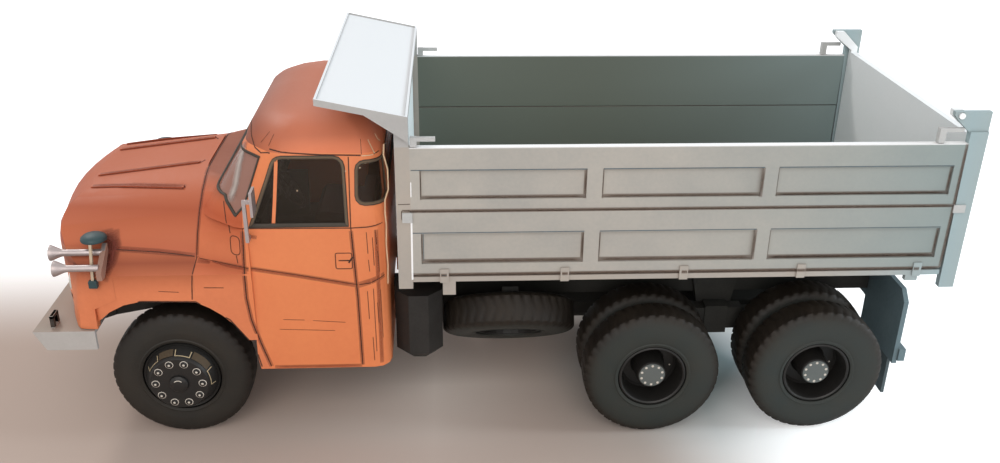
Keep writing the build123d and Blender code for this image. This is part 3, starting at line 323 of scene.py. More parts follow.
def facing_group() -> bpy.types.NodeTree:
    """Build masks of the faces of a card sheet: those towards the truck's middle, upward and to the rear.

    Returns:
        A group that gives the masks Inner, Up and Rear.
    """
    graph, given, result = new_group("card_faces", (Port("Normal", VECTOR), Port("Vector", VECTOR)),
                                     ("Inner", "Up", "Rear"))
    inner_limit = -0.5
    rise_start = 0.35
    rise_gain = 3.0
    rear_gain = -1.6
    normal = graph.parts(given.outputs["Normal"])
    spot = graph.parts(given.outputs["Vector"])
    inward = graph.math("MULTIPLY", normal.outputs["Y"], graph.math("SIGN", spot.outputs["Y"]))
    graph.feed(result.inputs["Inner"], graph.math("LESS_THAN", inward, inner_limit))
    rise = graph.math("MULTIPLY", graph.math("SUBTRACT", normal.outputs["Z"], rise_start), rise_gain, clamp=True)
    graph.feed(result.inputs["Up"], rise)
    graph.feed(result.inputs["Rear"], graph.math("MULTIPLY", normal.outputs["X"], rear_gain, clamp=True))
    return graph.tree


MOTTLE = mottle_group()
CORNER = corner_group()
BAND = band_group()
FACING = facing_group()


# Finishes
class Axis(Enum):
    """Axis of the frame that a band of shade runs across."""

    ALONG = "X"
    ACROSS = "Y"
    UP = "Z"


@dataclass(frozen=True)
class Band:
    """A soft band of colour on a card finish, in millimetres of the frame."""

    axis: Axis
    middle: float
    half_width: float
    colour: Colour
    amount: float


def shader_of(name: str) -> tuple[bpy.types.Material, Graph, bpy.types.Node]:
    """Start a node material.

    Args:
        name: Name of the material.

    Returns:
        The material, its graph and its Principled node.
    """
    material = bpy.data.materials.new(name)
    material.use_nodes = True
    graph = Graph(material.node_tree)
    return material, graph, material.node_tree.nodes["Principled BSDF"]


@dataclass(frozen=True)
class CardFinish:
    """Printed card: an uneven print, other colours on some faces, painted shade in its corners and a faint fibre
    relief.
    """

    name: str
    print_colour: Colour
    second_tone: Colour
    shade: Colour = printed(70, 48, 36)
    shade_amount: float = 1.0
    shade_reach: float = 3.0
    inner: Colour | None = None
    # On the canopy, hood and roof the upward colour is painted light and shade of how light falls on their tops.
    upper: Colour | None = None
    rear: Colour | None = None
    bands: tuple[Band, ...] = ()
    roughness: float = 0.62
    gloss_spread: float = 0.12
    specular: float = 0.35
    scale: float = 90.0
    relief: float = 0.05

    def build(self) -> bpy.types.Material:
        """Make the material.

        Returns:
            The finished material.
        """
        material, graph, shader = shader_of(self.name)
        where = graph.add("ShaderNodeTexCoord")
        spot = where.outputs["Object"]
        mottle = graph.group(MOTTLE, Vector=spot, Scale=self.scale)
        colour = graph.mix(mottle.outputs["Tone"], self.print_colour, self.second_tone)
        faces = graph.group(FACING, Normal=where.outputs["Normal"], Vector=spot)
        for mask, other in (("Inner", self.inner), ("Up", self.upper), ("Rear", self.rear)):
            if other is not None:
                colour = graph.mix(faces.outputs[mask], colour, other)
        split = graph.parts(spot)
        for band in self.bands:
            mask = graph.group(BAND, Value=split.outputs[band.axis.value], Middle=band.middle * MM,
                               Half_Width=band.half_width * MM).outputs[0]
            colour = graph.mix(graph.math("MULTIPLY", mask, band.amount), colour, band.colour)
        corner = graph.group(CORNER, Reach=self.shade_reach * MM, Amount=self.shade_amount)
        colour = graph.mix(corner.outputs["Mask"], colour, self.shade)
        graph.feed(shader.inputs["Base Color"], colour)
        rough = graph.math("ADD", graph.math("MULTIPLY", mottle.outputs["Tone"], self.gloss_spread),
                           self.roughness - self.gloss_spread / 2)
        graph.feed(shader.inputs["Roughness"], rough)
        graph.relief(shader, mottle.outputs["Height"], self.relief)
        shader.inputs["Specular IOR Level"].default_value = self.specular
        return material


@dataclass(frozen=True)
class PlainFinish:
    """An even finish of one colour, with a little variation in its gloss."""

    name: str
    colour: Colour
    roughness: float = 0.5
    metallic: float = 0.0
    alpha: float = 1.0
    variation: float = 0.15
    specular: float = 0.5
    scale: float = 160.0

    def build(self) -> bpy.types.Material:
        """Make the material.

        Returns:
            The finished material.
        """
        material, graph, shader = shader_of(self.name)
        where = graph.add("ShaderNodeTexCoord")
        mottle = graph.group(MOTTLE, Vector=where.outputs["Object"], Scale=self.scale)
        darker = tuple(channel * (1 - self.variation) for channel in self.colour)
        graph.feed(shader.inputs["Base Color"], graph.mix(mottle.outputs["Tone"], self.colour, darker))
        rough = graph.math("ADD", graph.math("MULTIPLY", mottle.outputs["Tone"], self.variation), self.roughness)
        graph.feed(shader.inputs["Roughness"], rough)
        shader.inputs["Metallic"].default_value = self.metallic
        shader.inputs["Alpha"].default_value = self.alpha
        shader.inputs["Specular IOR Level"].default_value = self.specular
        return material


@dataclass(frozen=True)
class InkFinish:
    """Ink and soft painted marks of shade, shadow, glint and reflection that lie on the card and fade out by the
    strip's own strength.
    """

    name: str
    colour: Colour
    density: float = 1.0
    roughness: float = 0.75
    thinnest: float = 0.7
    unevenness: float = 0.4
    scale: float = 420.0

    def build(self) -> bpy.types.Material:
        """Make the material.

        Returns:
            The finished material.
        """
        material, graph, shader = shader_of(self.name)
        shader.inputs["Base Color"].default_value = (*self.colour, 1.0)
        shader.inputs["Roughness"].default_value = self.roughness
        strength = graph.add("ShaderNodeAttribute", attribute_name="strength")
        where = graph.add("ShaderNodeTexCoord")
        mottle = graph.group(MOTTLE, Vector=where.outputs["Object"], Scale=self.scale)
        uneven = graph.math("ADD", graph.math("MULTIPLY", mottle.outputs["Tone"], self.unevenness), self.thinnest)
        amount = graph.math("MULTIPLY", graph.math("MULTIPLY", strength.outputs["Fac"], uneven), self.density,
                            clamp=True)
        graph.feed(shader.inputs["Alpha"], amount)
        return material


@dataclass(frozen=True)
class TyreFinish:
    """Dark card tyre: a grey sidewall, a darker tread, brown dust and painted shade in its grooves and corners."""

    name: str = "tyre_card"
    sidewall: Colour = printed(45, 51, 49)
    tread: Colour = printed(25, 21, 17)
    dust: Colour = printed(84, 68, 52)
    dust_amount: float = 0.16
    occlusion_shade: Colour = printed(14, 12, 10)
    occlusion_shade_amount: float = 0.9
    occlusion_shade_reach: float = 1.2
    roughness: float = 0.5
    specular: float = 0.3
    scale: float = 130.0
    relief: float = 0.25

    def build(self) -> bpy.types.Material:
        """Make the material.

        Returns:
            The finished material.
        """
        material, graph, shader = shader_of(self.name)
        where = graph.add("ShaderNodeTexCoord")
        mottle = graph.group(MOTTLE, Vector=where.outputs["Object"], Scale=self.scale)
        tread = graph.add("ShaderNodeAttribute", attribute_name="strength")
        colour = graph.mix(tread.outputs["Fac"], self.sidewall, self.tread)
        worn = graph.math("MULTIPLY", mottle.outputs["Tone"], self.dust_amount)
        colour = graph.mix(worn, colour, self.dust)
        # Painted shade where the tyre's grooves and corners hide from the light.
        corner = graph.group(CORNER, Reach=self.occlusion_shade_reach * MM, Amount=self.occlusion_shade_amount)
        colour = graph.mix(corner.outputs["Mask"], colour, self.occlusion_shade)
        shader.inputs["Specular IOR Level"].default_value = self.specular
        graph.feed(shader.inputs["Base Color"], colour)
        graph.feed(shader.inputs["Roughness"], graph.math("ADD", worn, self.roughness))
        graph.relief(shader, mottle.outputs["Height"], self.relief)
        return material


class Finishes:
    """All finishes of the model, each built once."""

    def __init__(self) -> None:
        """Build every finish."""
        brown = printed(92, 66, 50)
        rear_x = AXLE_X - BOARD_END
        inside = printed(104, 110, 100)
        white = printed(255, 255, 255)
        # Painted light and shade on the boards: a bluish painted light towards the rear, white top edges of bare paper
        # and painted highlight, painted shade in the corners.
        self.board = CardFinish("board_card", printed(182, 176, 167), printed(168, 165, 159), inner=inside,
                                bands=(Band(Axis.ALONG, rear_x, 80.0, printed(136, 152, 152), 0.85),
                                       Band(Axis.UP, BED_TOP, 0.35, white, 1.0)),
                                shade=brown, shade_amount=0.55, shade_reach=1.2).build()
        # The posts turn bluish towards the rear: painted light.
        self.post = CardFinish("post_card", printed(180, 170, 159), printed(170, 164, 157),
                               bands=(Band(Axis.ALONG, rear_x, 40.0, printed(158, 178, 182), 0.95),),
                               shade=brown, shade_amount=0.4, shade_reach=1.2).build()
        # The canopy's near-white top is a painted highlight on its grey card.
        self.canopy = CardFinish("canopy_card", printed(184, 182, 179), printed(174, 172, 170),
                                 upper=printed(238, 240, 242),
                                 shade=printed(112, 110, 108), shade_amount=0.3, shade_reach=2.0).build()
        # The front wall's near-white print is painted light on its inside.
        self.wall = CardFinish("wall_card", printed(250, 255, 255), printed(244, 252, 252),
                               shade=printed(150, 160, 160), shade_amount=0.3, shade_reach=2.0).build()
        self.floor = CardFinish("bed_floor_card", inside, printed(92, 98, 90), shade_amount=0.6,
                                shade_reach=5.0).build()
        # The tailgate's near-white print is painted light; its rear faces keep the grey of its card.
        self.gate = CardFinish("gate_card", printed(252, 253, 253), printed(246, 248, 248), rear=printed(176, 174, 168),
                               shade=printed(150, 160, 165), shade_amount=0.3, shade_reach=2.0).build()
        self.orange = self.orange_card("orange_side_card", printed(236, 140, 88), printed(228, 130, 82))
        # The fender's dark band below the hood's crease is painted shade.
        self.fender = self.orange_card("fender_card", printed(230, 135, 90), printed(218, 125, 83),
                                       bands=(Band(Axis.UP, 47.5, 8.0, printed(150, 74, 46), 0.95),))
        # The hood's lighter top is a painted sheen.
        self.hood = self.orange_card("hood_card", printed(176, 80, 44), printed(167, 75, 41),
                                     upper=printed(196, 106, 70), roughness=0.55,
                                     bands=(Band(Axis.UP, 57.0, 5.0, printed(166, 76, 42), 0.7),))
        # The cowl's dark bands below the crease and towards the windscreen's foot are painted shade.
        self.cowl = self.orange_card("cowl_card", printed(230, 135, 90), printed(218, 125, 83), roughness=0.55,
                                     bands=(Band(Axis.UP, 47.0, 5.5, printed(180, 90, 56), 0.85),
                                            Band(Axis.UP, 58.0, 13.0, printed(184, 86, 48), 1.0),
                                            Band(Axis.UP, 64.0, 4.5, printed(92, 56, 44), 0.95)))
        # The roof's darker top and dark front are painted shade; the band at its rear is the canopy's painted shadow.
        self.roof = self.orange_card("roof_card", printed(236, 134, 88), printed(228, 126, 82),
                                     upper=printed(206, 120, 88), shade_amount=0.3,
                                     bands=(Band(Axis.ALONG, AXLE_X - 17.0, 17.0, printed(104, 50, 34), 0.95),
                                            Band(Axis.ALONG, AXLE_X - 54.0, 10.0, printed(120, 62, 44), 0.45)))
        self.teal = CardFinish("teal_card_print", printed(112, 132, 138), printed(98, 116, 122),
                               shade_amount=0.5).build()
        self.black = CardFinish("black_card_print", printed(44, 42, 40), printed(32, 30, 28),
                                shade=printed(10, 9, 8), shade_amount=0.9, relief=0.1, scale=160.0).build()
        self.dark = CardFinish("underside_card", printed(50, 49, 45), printed(40, 39, 36),
                               shade=printed(12, 11, 10), shade_amount=0.9, relief=0.1, scale=160.0).build()
        self.bumper = CardFinish("bumper_card", printed(188, 184, 180), printed(176, 172, 168),
                                 upper=printed(166, 152, 140), shade=brown, shade_amount=0.4).build()
        self.flap = CardFinish("flap_card", printed(84, 96, 100), printed(72, 84, 88), shade_amount=0.6).build()
        self.seat = CardFinish("seat_card_print", printed(92, 50, 42), printed(74, 40, 34), shade_amount=0.6).build()
        self.dish = CardFinish("dish_card", printed(40, 38, 36), printed(30, 29, 28), shade=printed(8, 8, 8),
                               shade_amount=0.5, shade_reach=2.0, roughness=0.45, relief=0.08, scale=200.0).build()
        # The rear tyres' sidewall is a lighter, bluer copy of the front tyres' sidewall: painted light from behind.
        self.tyre = TyreFinish().build()
        self.front_tyre = TyreFinish("front_tyre_card", printed(40, 39, 36), printed(24, 21, 19)).build()
        self.white_print_and_highlight = PlainFinish("white_print_and_highlight", printed(216, 208, 196), 0.6).build()
        self.beige_print = PlainFinish("beige_print", printed(204, 184, 148), 0.6).build()
        self.brown_print = PlainFinish("brown_print", printed(82, 68, 50), 0.6).build()
        self.grey_print = PlainFinish("hub_print", printed(98, 103, 101), 0.5).build()
        self.silver = PlainFinish("silver_paint", printed(184, 172, 170), 0.32, metallic=0.7).build()
        self.fitting = PlainFinish("grey_fitting_print", printed(198, 198, 196), 0.5).build()
        self.stalk = PlainFinish("stalk_paint", printed(196, 176, 150), 0.4, metallic=0.2).build()
        self.cap = PlainFinish("marker_cap_print", printed(38, 66, 70), 0.4).build()
        self.rubber = PlainFinish("window_rubber_print", printed(108, 90, 70), 0.6).build()
        self.film = PlainFinish("side_window_film", printed(66, 56, 46), 0.08, alpha=0.28, specular=0.12).build()
        self.screen = PlainFinish("windscreen_film", printed(176, 128, 112), 0.12, alpha=0.66, variation=0.0,
                                  specular=0.3).build()
        self.bracket = PlainFinish("horn_bracket_print", printed(162, 124, 108), 0.5).build()
        self.seal = PlainFinish("dark_seal_print", printed(58, 50, 40), 0.6).build()
        self.lamp = PlainFinish("lamp_film_clear", printed(226, 226, 218), 0.12, variation=0.05).build()
        self.red = PlainFinish("tail_lamp_print", printed(150, 30, 24), 0.3).build()
        self.trim = PlainFinish("cabin_trim_print", printed(50, 40, 32), 0.6).build()
        self.ink = InkFinish("seam_ink", printed(62, 40, 30), 0.9).build()
        self.rib_ink = InkFinish("rib_ink", printed(122, 58, 42), 0.8).build()
        # Soft brown painted shade along the cab's creases, seams and ribs.
        self.crease_shade = InkFinish("brown_crease_shade", printed(150, 68, 42), 0.42).build()
        # Painted shade in the bed's recesses and along its edges, together with dark split and outline lines.
        self.shade_and_joints = InkFinish("bed_shade_and_joints", printed(96, 76, 62), 0.72).build()
        self.teal_ink = InkFinish("teal_ink", printed(104, 122, 130), 0.75).build()
        self.streak = InkFinish("window_reflection", printed(190, 178, 170), 1.0).build()
        self.cast = InkFinish("horn_shade", printed(110, 44, 28), 1.1).build()
        # Bare paper edges, and the same pale colour for painted glints on the windows.
        self.pale_edge_and_glint = InkFinish("pale_paper_edge_and_glint", printed(226, 196, 160), 1.0).build()
        self.gap = InkFinish("bright_gap", printed(255, 255, 255), 1.2).build()

    def orange_card(self, name: str, tone: Colour, second: Colour, bands: tuple[Band, ...] = (),
                    upper: Colour | None = None, shade_amount: float = 0.5,
                    roughness: float = 0.5) -> bpy.types.Material:
        """Build a finish of the cab's orange card.

        Args:
            name: Name of the finish.
            tone: Its print.
            second: The print's other tone.
            bands: Soft bands of colour; on the fender, cowl and roof they are painted shade.
            upper: Print of the faces that look up.
            shade_amount: Amount of the rust-brown painted shade in its corners.
            roughness: Roughness of the print.

        Returns:
            The finished material.
        """
        return CardFinish(name, tone, second, shade=printed(120, 58, 38), shade_amount=shade_amount, shade_reach=1.2,
                          upper=upper, bands=bands, roughness=roughness, scale=60.0, relief=0.03).build()


# Meshes
def new_piece(name: str, points: Iterable[Sequence[float]], faces: Iterable[Sequence[int]],
              material: bpy.types.Material, body: str, smooth: bool = True,
              strength: Iterable[float] | None = None) -> bpy.types.Object:
    """Make a mesh that rides on a body.

    Args:
        name: Name of the piece.
        points: Its vertices in metres of the frame.
        faces: Its faces as vertex numbers.
        material: Its finish.
        body: The CAD body it rides on.
        smooth: Whether its faces are shaded smooth.
        strength: A value per vertex that its finish reads.

    Returns:
        The new object.
    """
    mesh = bpy.data.meshes.new(name)
    mesh.from_pydata([tuple(point) for point in points], [], [tuple(face) for face in faces])
    mesh.materials.append(material)
    if smooth:
        mesh.shade_smooth()
    if strength is not None:
        layer = mesh.attributes.new("strength", "FLOAT", "POINT")
        layer.data.foreach_set("value", list(strength))
    mesh.validate()
    piece = bpy.data.objects.new(name, mesh)
    bpy.context.scene.collection.objects.link(piece)
    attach(piece, body)
    log.info("%s: %d faces on %s", name, len(mesh.polygons), body)
    return piece


@dataclass
class Mesh:
    """Vertices, faces and strengths that grow as parts are added."""

    points: list[Vector] = field(default_factory=list)
    faces: list[list[int]] = field(default_factory=list)
    strength: list[float] = field(default_factory=list)

    def add(self, points: Sequence[Vector], faces: Sequence[Sequence[int]],
            strength: Sequence[float] | None = None) -> None:
        """Add vertices and the faces between them.

        Args:
            points: New vertices.
            faces: Faces as numbers within the new vertices.
            strength: A value per new vertex, or nothing for 1.
        """
        start = len(self.points)
        self.points += [Vector(point) for point in points]
        self.faces += [[start + index for index in face] for face in faces]
        self.strength += list(strength) if strength is not None else [1.0] * len(points)

    def mirror(self) -> None:
        """Add the same parts on the truck's other side."""
        points = [Vector((point.x, -point.y, point.z)) for point in self.points]
        faces = [list(reversed(face)) for face in self.faces]
        self.add(points, faces, list(self.strength))

    def prism(self, rings: Sequence[Sequence[Vector]]) -> None:
        """Add a closed form through rings of points, with flat ends.

        Args:
            rings: Rings of as many points each, counterclockwise as seen from beyond the last one.
        """
        count = len(rings[0])
        last = (len(rings) - 1) * count
        faces = []
        for start in range(0, last, count):
            for index in range(count):
                a = start + index
                b = start + (index + 1) % count
                faces.append([a, b, b + count, a + count])
        faces.append(list(range(count - 1, -1, -1)))
        faces.append(list(range(last, last + count)))
        self.add([point for ring in rings for point in ring], faces)

    def box(self, low: Vector, high: Vector) -> None:
        """Add a small bevelled block between two corners.

        Args:
            low: One corner, in metres.
            high: The other corner, in metres.
        """
        bevel_share = 0.16
        low, high = (Vector(map(min, low, high)), Vector(map(max, low, high)))
        bevel = bevel_share * min(high - low)
        rings = []
        for z, inset in ((low.z, bevel), (low.z + bevel, 0.0), (high.z - bevel, 0.0), (high.z, bevel)):
            rings.append([Vector((low.x + inset, low.y + inset, z)), Vector((high.x - inset, low.y + inset, z)),
                          Vector((high.x - inset, high.y - inset, z)), Vector((low.x + inset, high.y - inset, z))])
        self.prism(rings)

    def turned(self, profile: Sequence[tuple[float, float]], sides: int, where: Matrix) -> None:
        """Add a solid turned about the Y axis and then placed.

        Args:
            profile: (radius, y) steps in millimetres, from one end to the other.
            sides: Number of flats round the axis.
            where: Matrix that places it, in metres.
        """
        self.prism([[where @ round_axle(radius, 2 * math.pi * index / sides, y) for index in range(sides)]
                    for radius, y in profile])

    def piece(self, name: str, material: bpy.types.Material, body: str, slot: str,
              smooth: bool = True) -> bpy.types.Object:
        """Make the piece from what was added.

        Args:
            name: Name of the piece.
            material: Its finish.
            body: The CAD body it rides on.
            slot: The record's material slot it belongs to; not used.
            smooth: Whether its faces are shaded smooth.

        Returns:
            The new object.
        """
        made = new_piece(name, self.points, self.faces, material, body, smooth, self.strength)
        if smooth:
            sharpen(made)
        return made


def rolled_card_tree() -> bpy.types.NodeTree:
    """Build the modifier that shades folded strips as one rolled sheet and keeps real edges sharp.

    Returns:
        The geometry node tree.
    """
    sharp_from = math.radians(34)
    same_place = 0.001 * MM
    tree = bpy.data.node_groups.new("rolled_card", "GeometryNodeTree")
    tree.interface.new_socket("Geometry", in_out="INPUT", socket_type="NodeSocketGeometry")
    tree.interface.new_socket("Geometry", in_out="OUTPUT", socket_type="NodeSocketGeometry")
    fold_limit = tree.interface.new_socket("Angle", in_out="INPUT", socket_type="NodeSocketFloat")
    fold_limit.default_value = sharp_from
    graph = Graph(tree)
    given = graph.add("NodeGroupInput")
    result = graph.add("NodeGroupOutput")
    plain = graph.add("GeometryNodeRemoveAttribute")
    plain.inputs["Name"].default_value = "custom_normal"
    graph.feed(plain.inputs["Geometry"], given.outputs["Geometry"])
    merged = graph.add("GeometryNodeMergeByDistance")
    merged.inputs["Distance"].default_value = same_place
    graph.feed(merged.inputs["Geometry"], plain.outputs[0])
    rolled = graph.add("GeometryNodeSetShadeSmooth", domain="FACE")
    graph.feed(rolled.inputs[0], merged.outputs[0])
    rolled.inputs["Shade Smooth"].default_value = True
    fold = graph.add("GeometryNodeInputMeshEdgeAngle")
    steep = graph.add("FunctionNodeCompare", data_type="FLOAT", operation="GREATER_THAN")
    graph.feed(steep.inputs[0], fold.outputs["Unsigned Angle"])
    graph.feed(steep.inputs[1], given.outputs["Angle"])
    sharp = graph.add("GeometryNodeSetShadeSmooth", domain="EDGE")
    graph.feed(sharp.inputs[0], rolled.outputs[0])
    graph.feed(sharp.inputs["Selection"], steep.outputs[0])
    sharp.inputs["Shade Smooth"].default_value = False
    graph.feed(result.inputs[0], sharp.outputs[0])
    return tree


ROLLED_CARD = rolled_card_tree()


def sharpen(piece: bpy.types.Object) -> None:
    """Shade a piece as rolled card, with flats that stay flat beside its folds.

    Args:
        piece: The piece.
    """
    rolled = piece.modifiers.new("rolled_card", "NODES")
    rolled.node_group = ROLLED_CARD
    weighted = piece.modifiers.new("flat_sides", "WEIGHTED_NORMAL")
    weighted.keep_sharp = True


# Strips of print and of painted shade and light that lie on the card
class Facing(Enum):
    """Way in which a strip of print is pressed on the card; ROUND is towards the middle of the cab's section."""

    LEFT = (0, -1, 0)
    TOP = (0, 0, -1)
    FRONT = (-1, 0, 0)
    ROUND = (0, 0, 0)


@dataclass(frozen=True)
class Strip:
    """One line laid on the card, print and painted marks alike: points behind the front axle, to the left and over the
    floor, in millimetres.
    """

    path: tuple[Point, ...]
    width: float
    facing: Facing = Facing.LEFT
    closed: bool = False


class Skin:
    """Outer surface of some CAD nodes, on which print is laid."""

    fade_rows = 4
    widest_gap = 3
    section_height = 34.0
    side_start = 90.0
    top_start = 100.0
    press = 12.0

    def __init__(self, *nodes: str) -> None:
        """Gather the surface of these nodes.

        Args:
            nodes: Names of the CAD nodes.
        """
        points: list[Vector] = []
        faces: list[list[int]] = []
        for node in nodes:
            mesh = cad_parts[node].data
            start = len(points)
            points += [vertex.co.copy() for vertex in mesh.vertices]
            faces += [[start + index for index in polygon.vertices] for polygon in mesh.polygons]
        self.tree = BVHTree.FromPolygons(points, faces)

    def find(self, station: float, y: float, z: float, facing: Facing) -> tuple[Vector, Vector] | None:
        """Find the surface under a point of print.

        Args:
            station: Distance behind the front axle.
            y: Distance to the left.
            z: Height over the floor.
            facing: Side from which the print is laid.

        Returns:
            The place and the outward normal, or nothing where the print has no card under it.
        """
        point = place(station, y, z)
        direction = Vector(facing.value)
        if facing is Facing.ROUND:
            direction = (place(station, 0, self.section_height) - point).normalized()
        origin = point - direction * self.press * MM
        if facing is Facing.LEFT:
            origin = place(station, self.side_start, z)
        elif facing is Facing.TOP:
            origin = place(station, y, self.top_start)
        hit, normal, _, _ = self.tree.ray_cast(origin, direction)
        if hit is None:
            return None
        if normal.dot(direction) > 0:
            normal = -normal
        return hit, normal

    def lay(self, mesh: Mesh, strip: Strip, lift: float = 0.04, soft: bool = False, step: float = 0.6) -> None:
        """Lay a strip on the surface.

        Args:
            mesh: Mesh that the strip is added to.
            strip: The strip.
            lift: Height over the card in millimetres.
            soft: Whether it fades towards both sides and both ends.
            step: Distance between its sections in millimetres.
        """
        path = list(strip.path) + ([strip.path[0]] if strip.closed else [])
        spots: list[tuple[Vector, Vector]] = []
        for start, end in zip(path, path[1:]):
            a, b = Vector(start), Vector(end)
            count = max(1, math.ceil((b - a).length / step))
            for index in range(count + (1 if end is path[-1] else 0)):
                found = self.find(*a.lerp(b, index / count), strip.facing)
                if found is not None:
                    spots.append(found)
        rows: list[Vector] = []
        strengths: list[float] = []
        for index, (spot, normal) in enumerate(spots):
            before = spots[max(index - 1, 0)][0]
            after = spots[min(index + 1, len(spots) - 1)][0]
            along = (after - before).normalized()
            side = along.cross(normal).normalized() * (strip.width / 2 * MM)
            rise = normal * lift * MM
            rows += [spot - side + rise, spot + rise, spot + side + rise]
            end_fade = min(1.0, index / self.fade_rows, (len(spots) - 1 - index) / self.fade_rows) if soft else 1.0
            edge = 0.0 if soft else 1.0
            strengths += [edge, end_fade, edge]
        faces = []
        for index in range(len(spots) - 1):
            if (spots[index + 1][0] - spots[index][0]).length > self.widest_gap * step * MM:
                continue
            a = index * 3
            faces += [[a, a + 1, a + 4, a + 3], [a + 1, a + 2, a + 5, a + 4]]
        mesh.add(rows, faces, strengths)


def on_side(*points: tuple[float, float]) -> tuple[Point, ...]:
    """Turn (station, height) pairs into points of a strip laid from the side."""
    return tuple((station, 0.0, z) for station, z in points)


def round_corner(points: Sequence[tuple[float, float]], radius: float, count: int = 5) -> list[tuple[float, float]]:
    """Round the corners of a closed outline.

    Args:
        points: Corners of the outline.
        radius: Length of each side that a corner takes up.
        count: Points on each corner.

    Returns:
        The rounded outline.
    """
    rounded: list[tuple[float, float]] = []
    for index, corner in enumerate(points):
        middle = Vector(corner)
        before = Vector(points[index - 1]) - middle
        after = Vector(points[(index + 1) % len(points)]) - middle
        start = middle + before.normalized() * min(radius, before.length / 2)
        end = middle + after.normalized() * min(radius, after.length / 2)
        for part in range(count):
            share = part / (count - 1)
            spot = start.lerp(middle, share).lerp(middle.lerp(end, share), share)
            rounded.append((spot.x, spot.y))
    return rounded


class FilmOutline:
    """Outlines of a window film's outer faces, along which its rubber is drawn."""

    fold_limit = math.radians(47)
    mitre_limit = 0.6
    smallest = 3.0
    grid = 0.01 * MM

    def __init__(self, node: str, middle: Vector) -> None:
        """Find the outlines.

        Args:
            node: CAD node of the film.
            middle: Point inside the cab that the outer faces look away from, in metres.
        """
        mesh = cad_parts[node].data
        numbers: dict[tuple[int, ...], int] = {}
        self.spots: list[Vector] = []
        index = []
        for vertex in mesh.vertices:
            key = tuple(round(value / self.grid) for value in vertex.co)
            if key not in numbers:
                numbers[key] = len(self.spots)
                self.spots.append(vertex.co.copy())
            index.append(numbers[key])
        self.faces = [[index[number] for number in polygon.vertices] for polygon in mesh.polygons]
        self.normals = [polygon.normal.copy() for polygon in mesh.polygons]
        self.areas = [polygon.area for polygon in mesh.polygons]
        self.owners: dict[tuple[int, int], int] = {}
        for face, corners in enumerate(self.faces):
            for a, b in zip(corners, corners[1:] + corners[:1]):
                self.owners[a, b] = face
        outward = [(polygon.center - middle).dot(polygon.normal) > 0 for polygon in mesh.polygons]
        self.loops: list[list[tuple[Vector, Vector]]] = []
        left = {face for face in range(len(self.faces)) if outward[face]}
        while left:
            seed = max(left, key=lambda face: (self.areas[face], -face))
            if self.areas[seed] < self.smallest * MM * MM:
                break
            sheet = self.flood(seed, left)
            left -= sheet
            self.loops += self.chain(sheet)

    def flood(self, seed: int, allowed: set[int]) -> set[int]:
        """Gather the faces that one sheet of film is folded from.

        Args:
            seed: Face to start from.
            allowed: Faces that may belong to the sheet.

        Returns:
            The sheet's faces.
        """
        sheet = {seed}
        edge = [seed]
        while edge:
            face = edge.pop()
            corners = self.faces[face]
            for a, b in zip(corners, corners[1:] + corners[:1]):
                other = self.owners.get((b, a))
                if other is None or other in sheet or other not in allowed:
                    continue
                if self.normals[face].angle(self.normals[other], math.pi) < self.fold_limit:
                    sheet.add(other)
                    edge.append(other)
        return sheet

    def chain(self, sheet: set[int]) -> list[list[tuple[Vector, Vector]]]:
        """Join a sheet's free edges into closed loops.

        Args:
            sheet: The sheet's faces.

        Returns:
            The loops, as places and outward normals.
        """
        following: dict[int, int] = {}
        rising: dict[int, Vector] = {}
        for face in sorted(sheet):
            corners = self.faces[face]
            for a, b in zip(corners, corners[1:] + corners[:1]):
                rising[a] = rising.get(a, Vector()) + self.normals[face] * self.areas[face]
                if self.owners.get((b, a)) not in sheet:
                    following[a] = b
        loops = []
        while following:
            start = min(following)
            loop = [start]
            spot = following.pop(start)
            while spot != start and spot in following:
                loop.append(spot)
                spot = following.pop(spot)
            if len(loop) > 3:
                loops.append([(self.spots[number], rising[number].normalized()) for number in loop])
        return loops

    def sweep(self, mesh: Mesh, profile: Sequence[tuple[float, float]], below: float = math.inf) -> None:
        """Draw a section along every outline.

        Args:
            mesh: Mesh that takes it.
            profile: (distance outside the film's edge, height over the film) steps in millimetres.
            below: Height over the floor, in millimetres, under which the section is drawn.
        """
        for loop in self.loops:
            count = len(loop)
            points: list[Vector] = []
            for number, (spot, normal) in enumerate(loop):
                before = (spot - loop[number - 1][0]).normalized()
                after = (loop[(number + 1) % count][0] - spot).normalized()
                along = (before + after).normalized()
                mitre = 1 / max(self.mitre_limit, math.sqrt(max(0.0, (1 + before.dot(after)) / 2)))
                side = along.cross(normal).normalized() * mitre
                points += [spot + (side * out + normal * height) * MM for out, height in profile]
            steps = len(profile)
            faces = []
            for number in range(count):
                if max(loop[number][0].z, loop[(number + 1) % count][0].z) > below * MM:
                    continue
                for step in range(steps - 1):
                    a = number * steps + step
                    b = ((number + 1) % count) * steps + step
                    faces.append([a, a + 1, b + 1, b])
            mesh.add(points, faces)


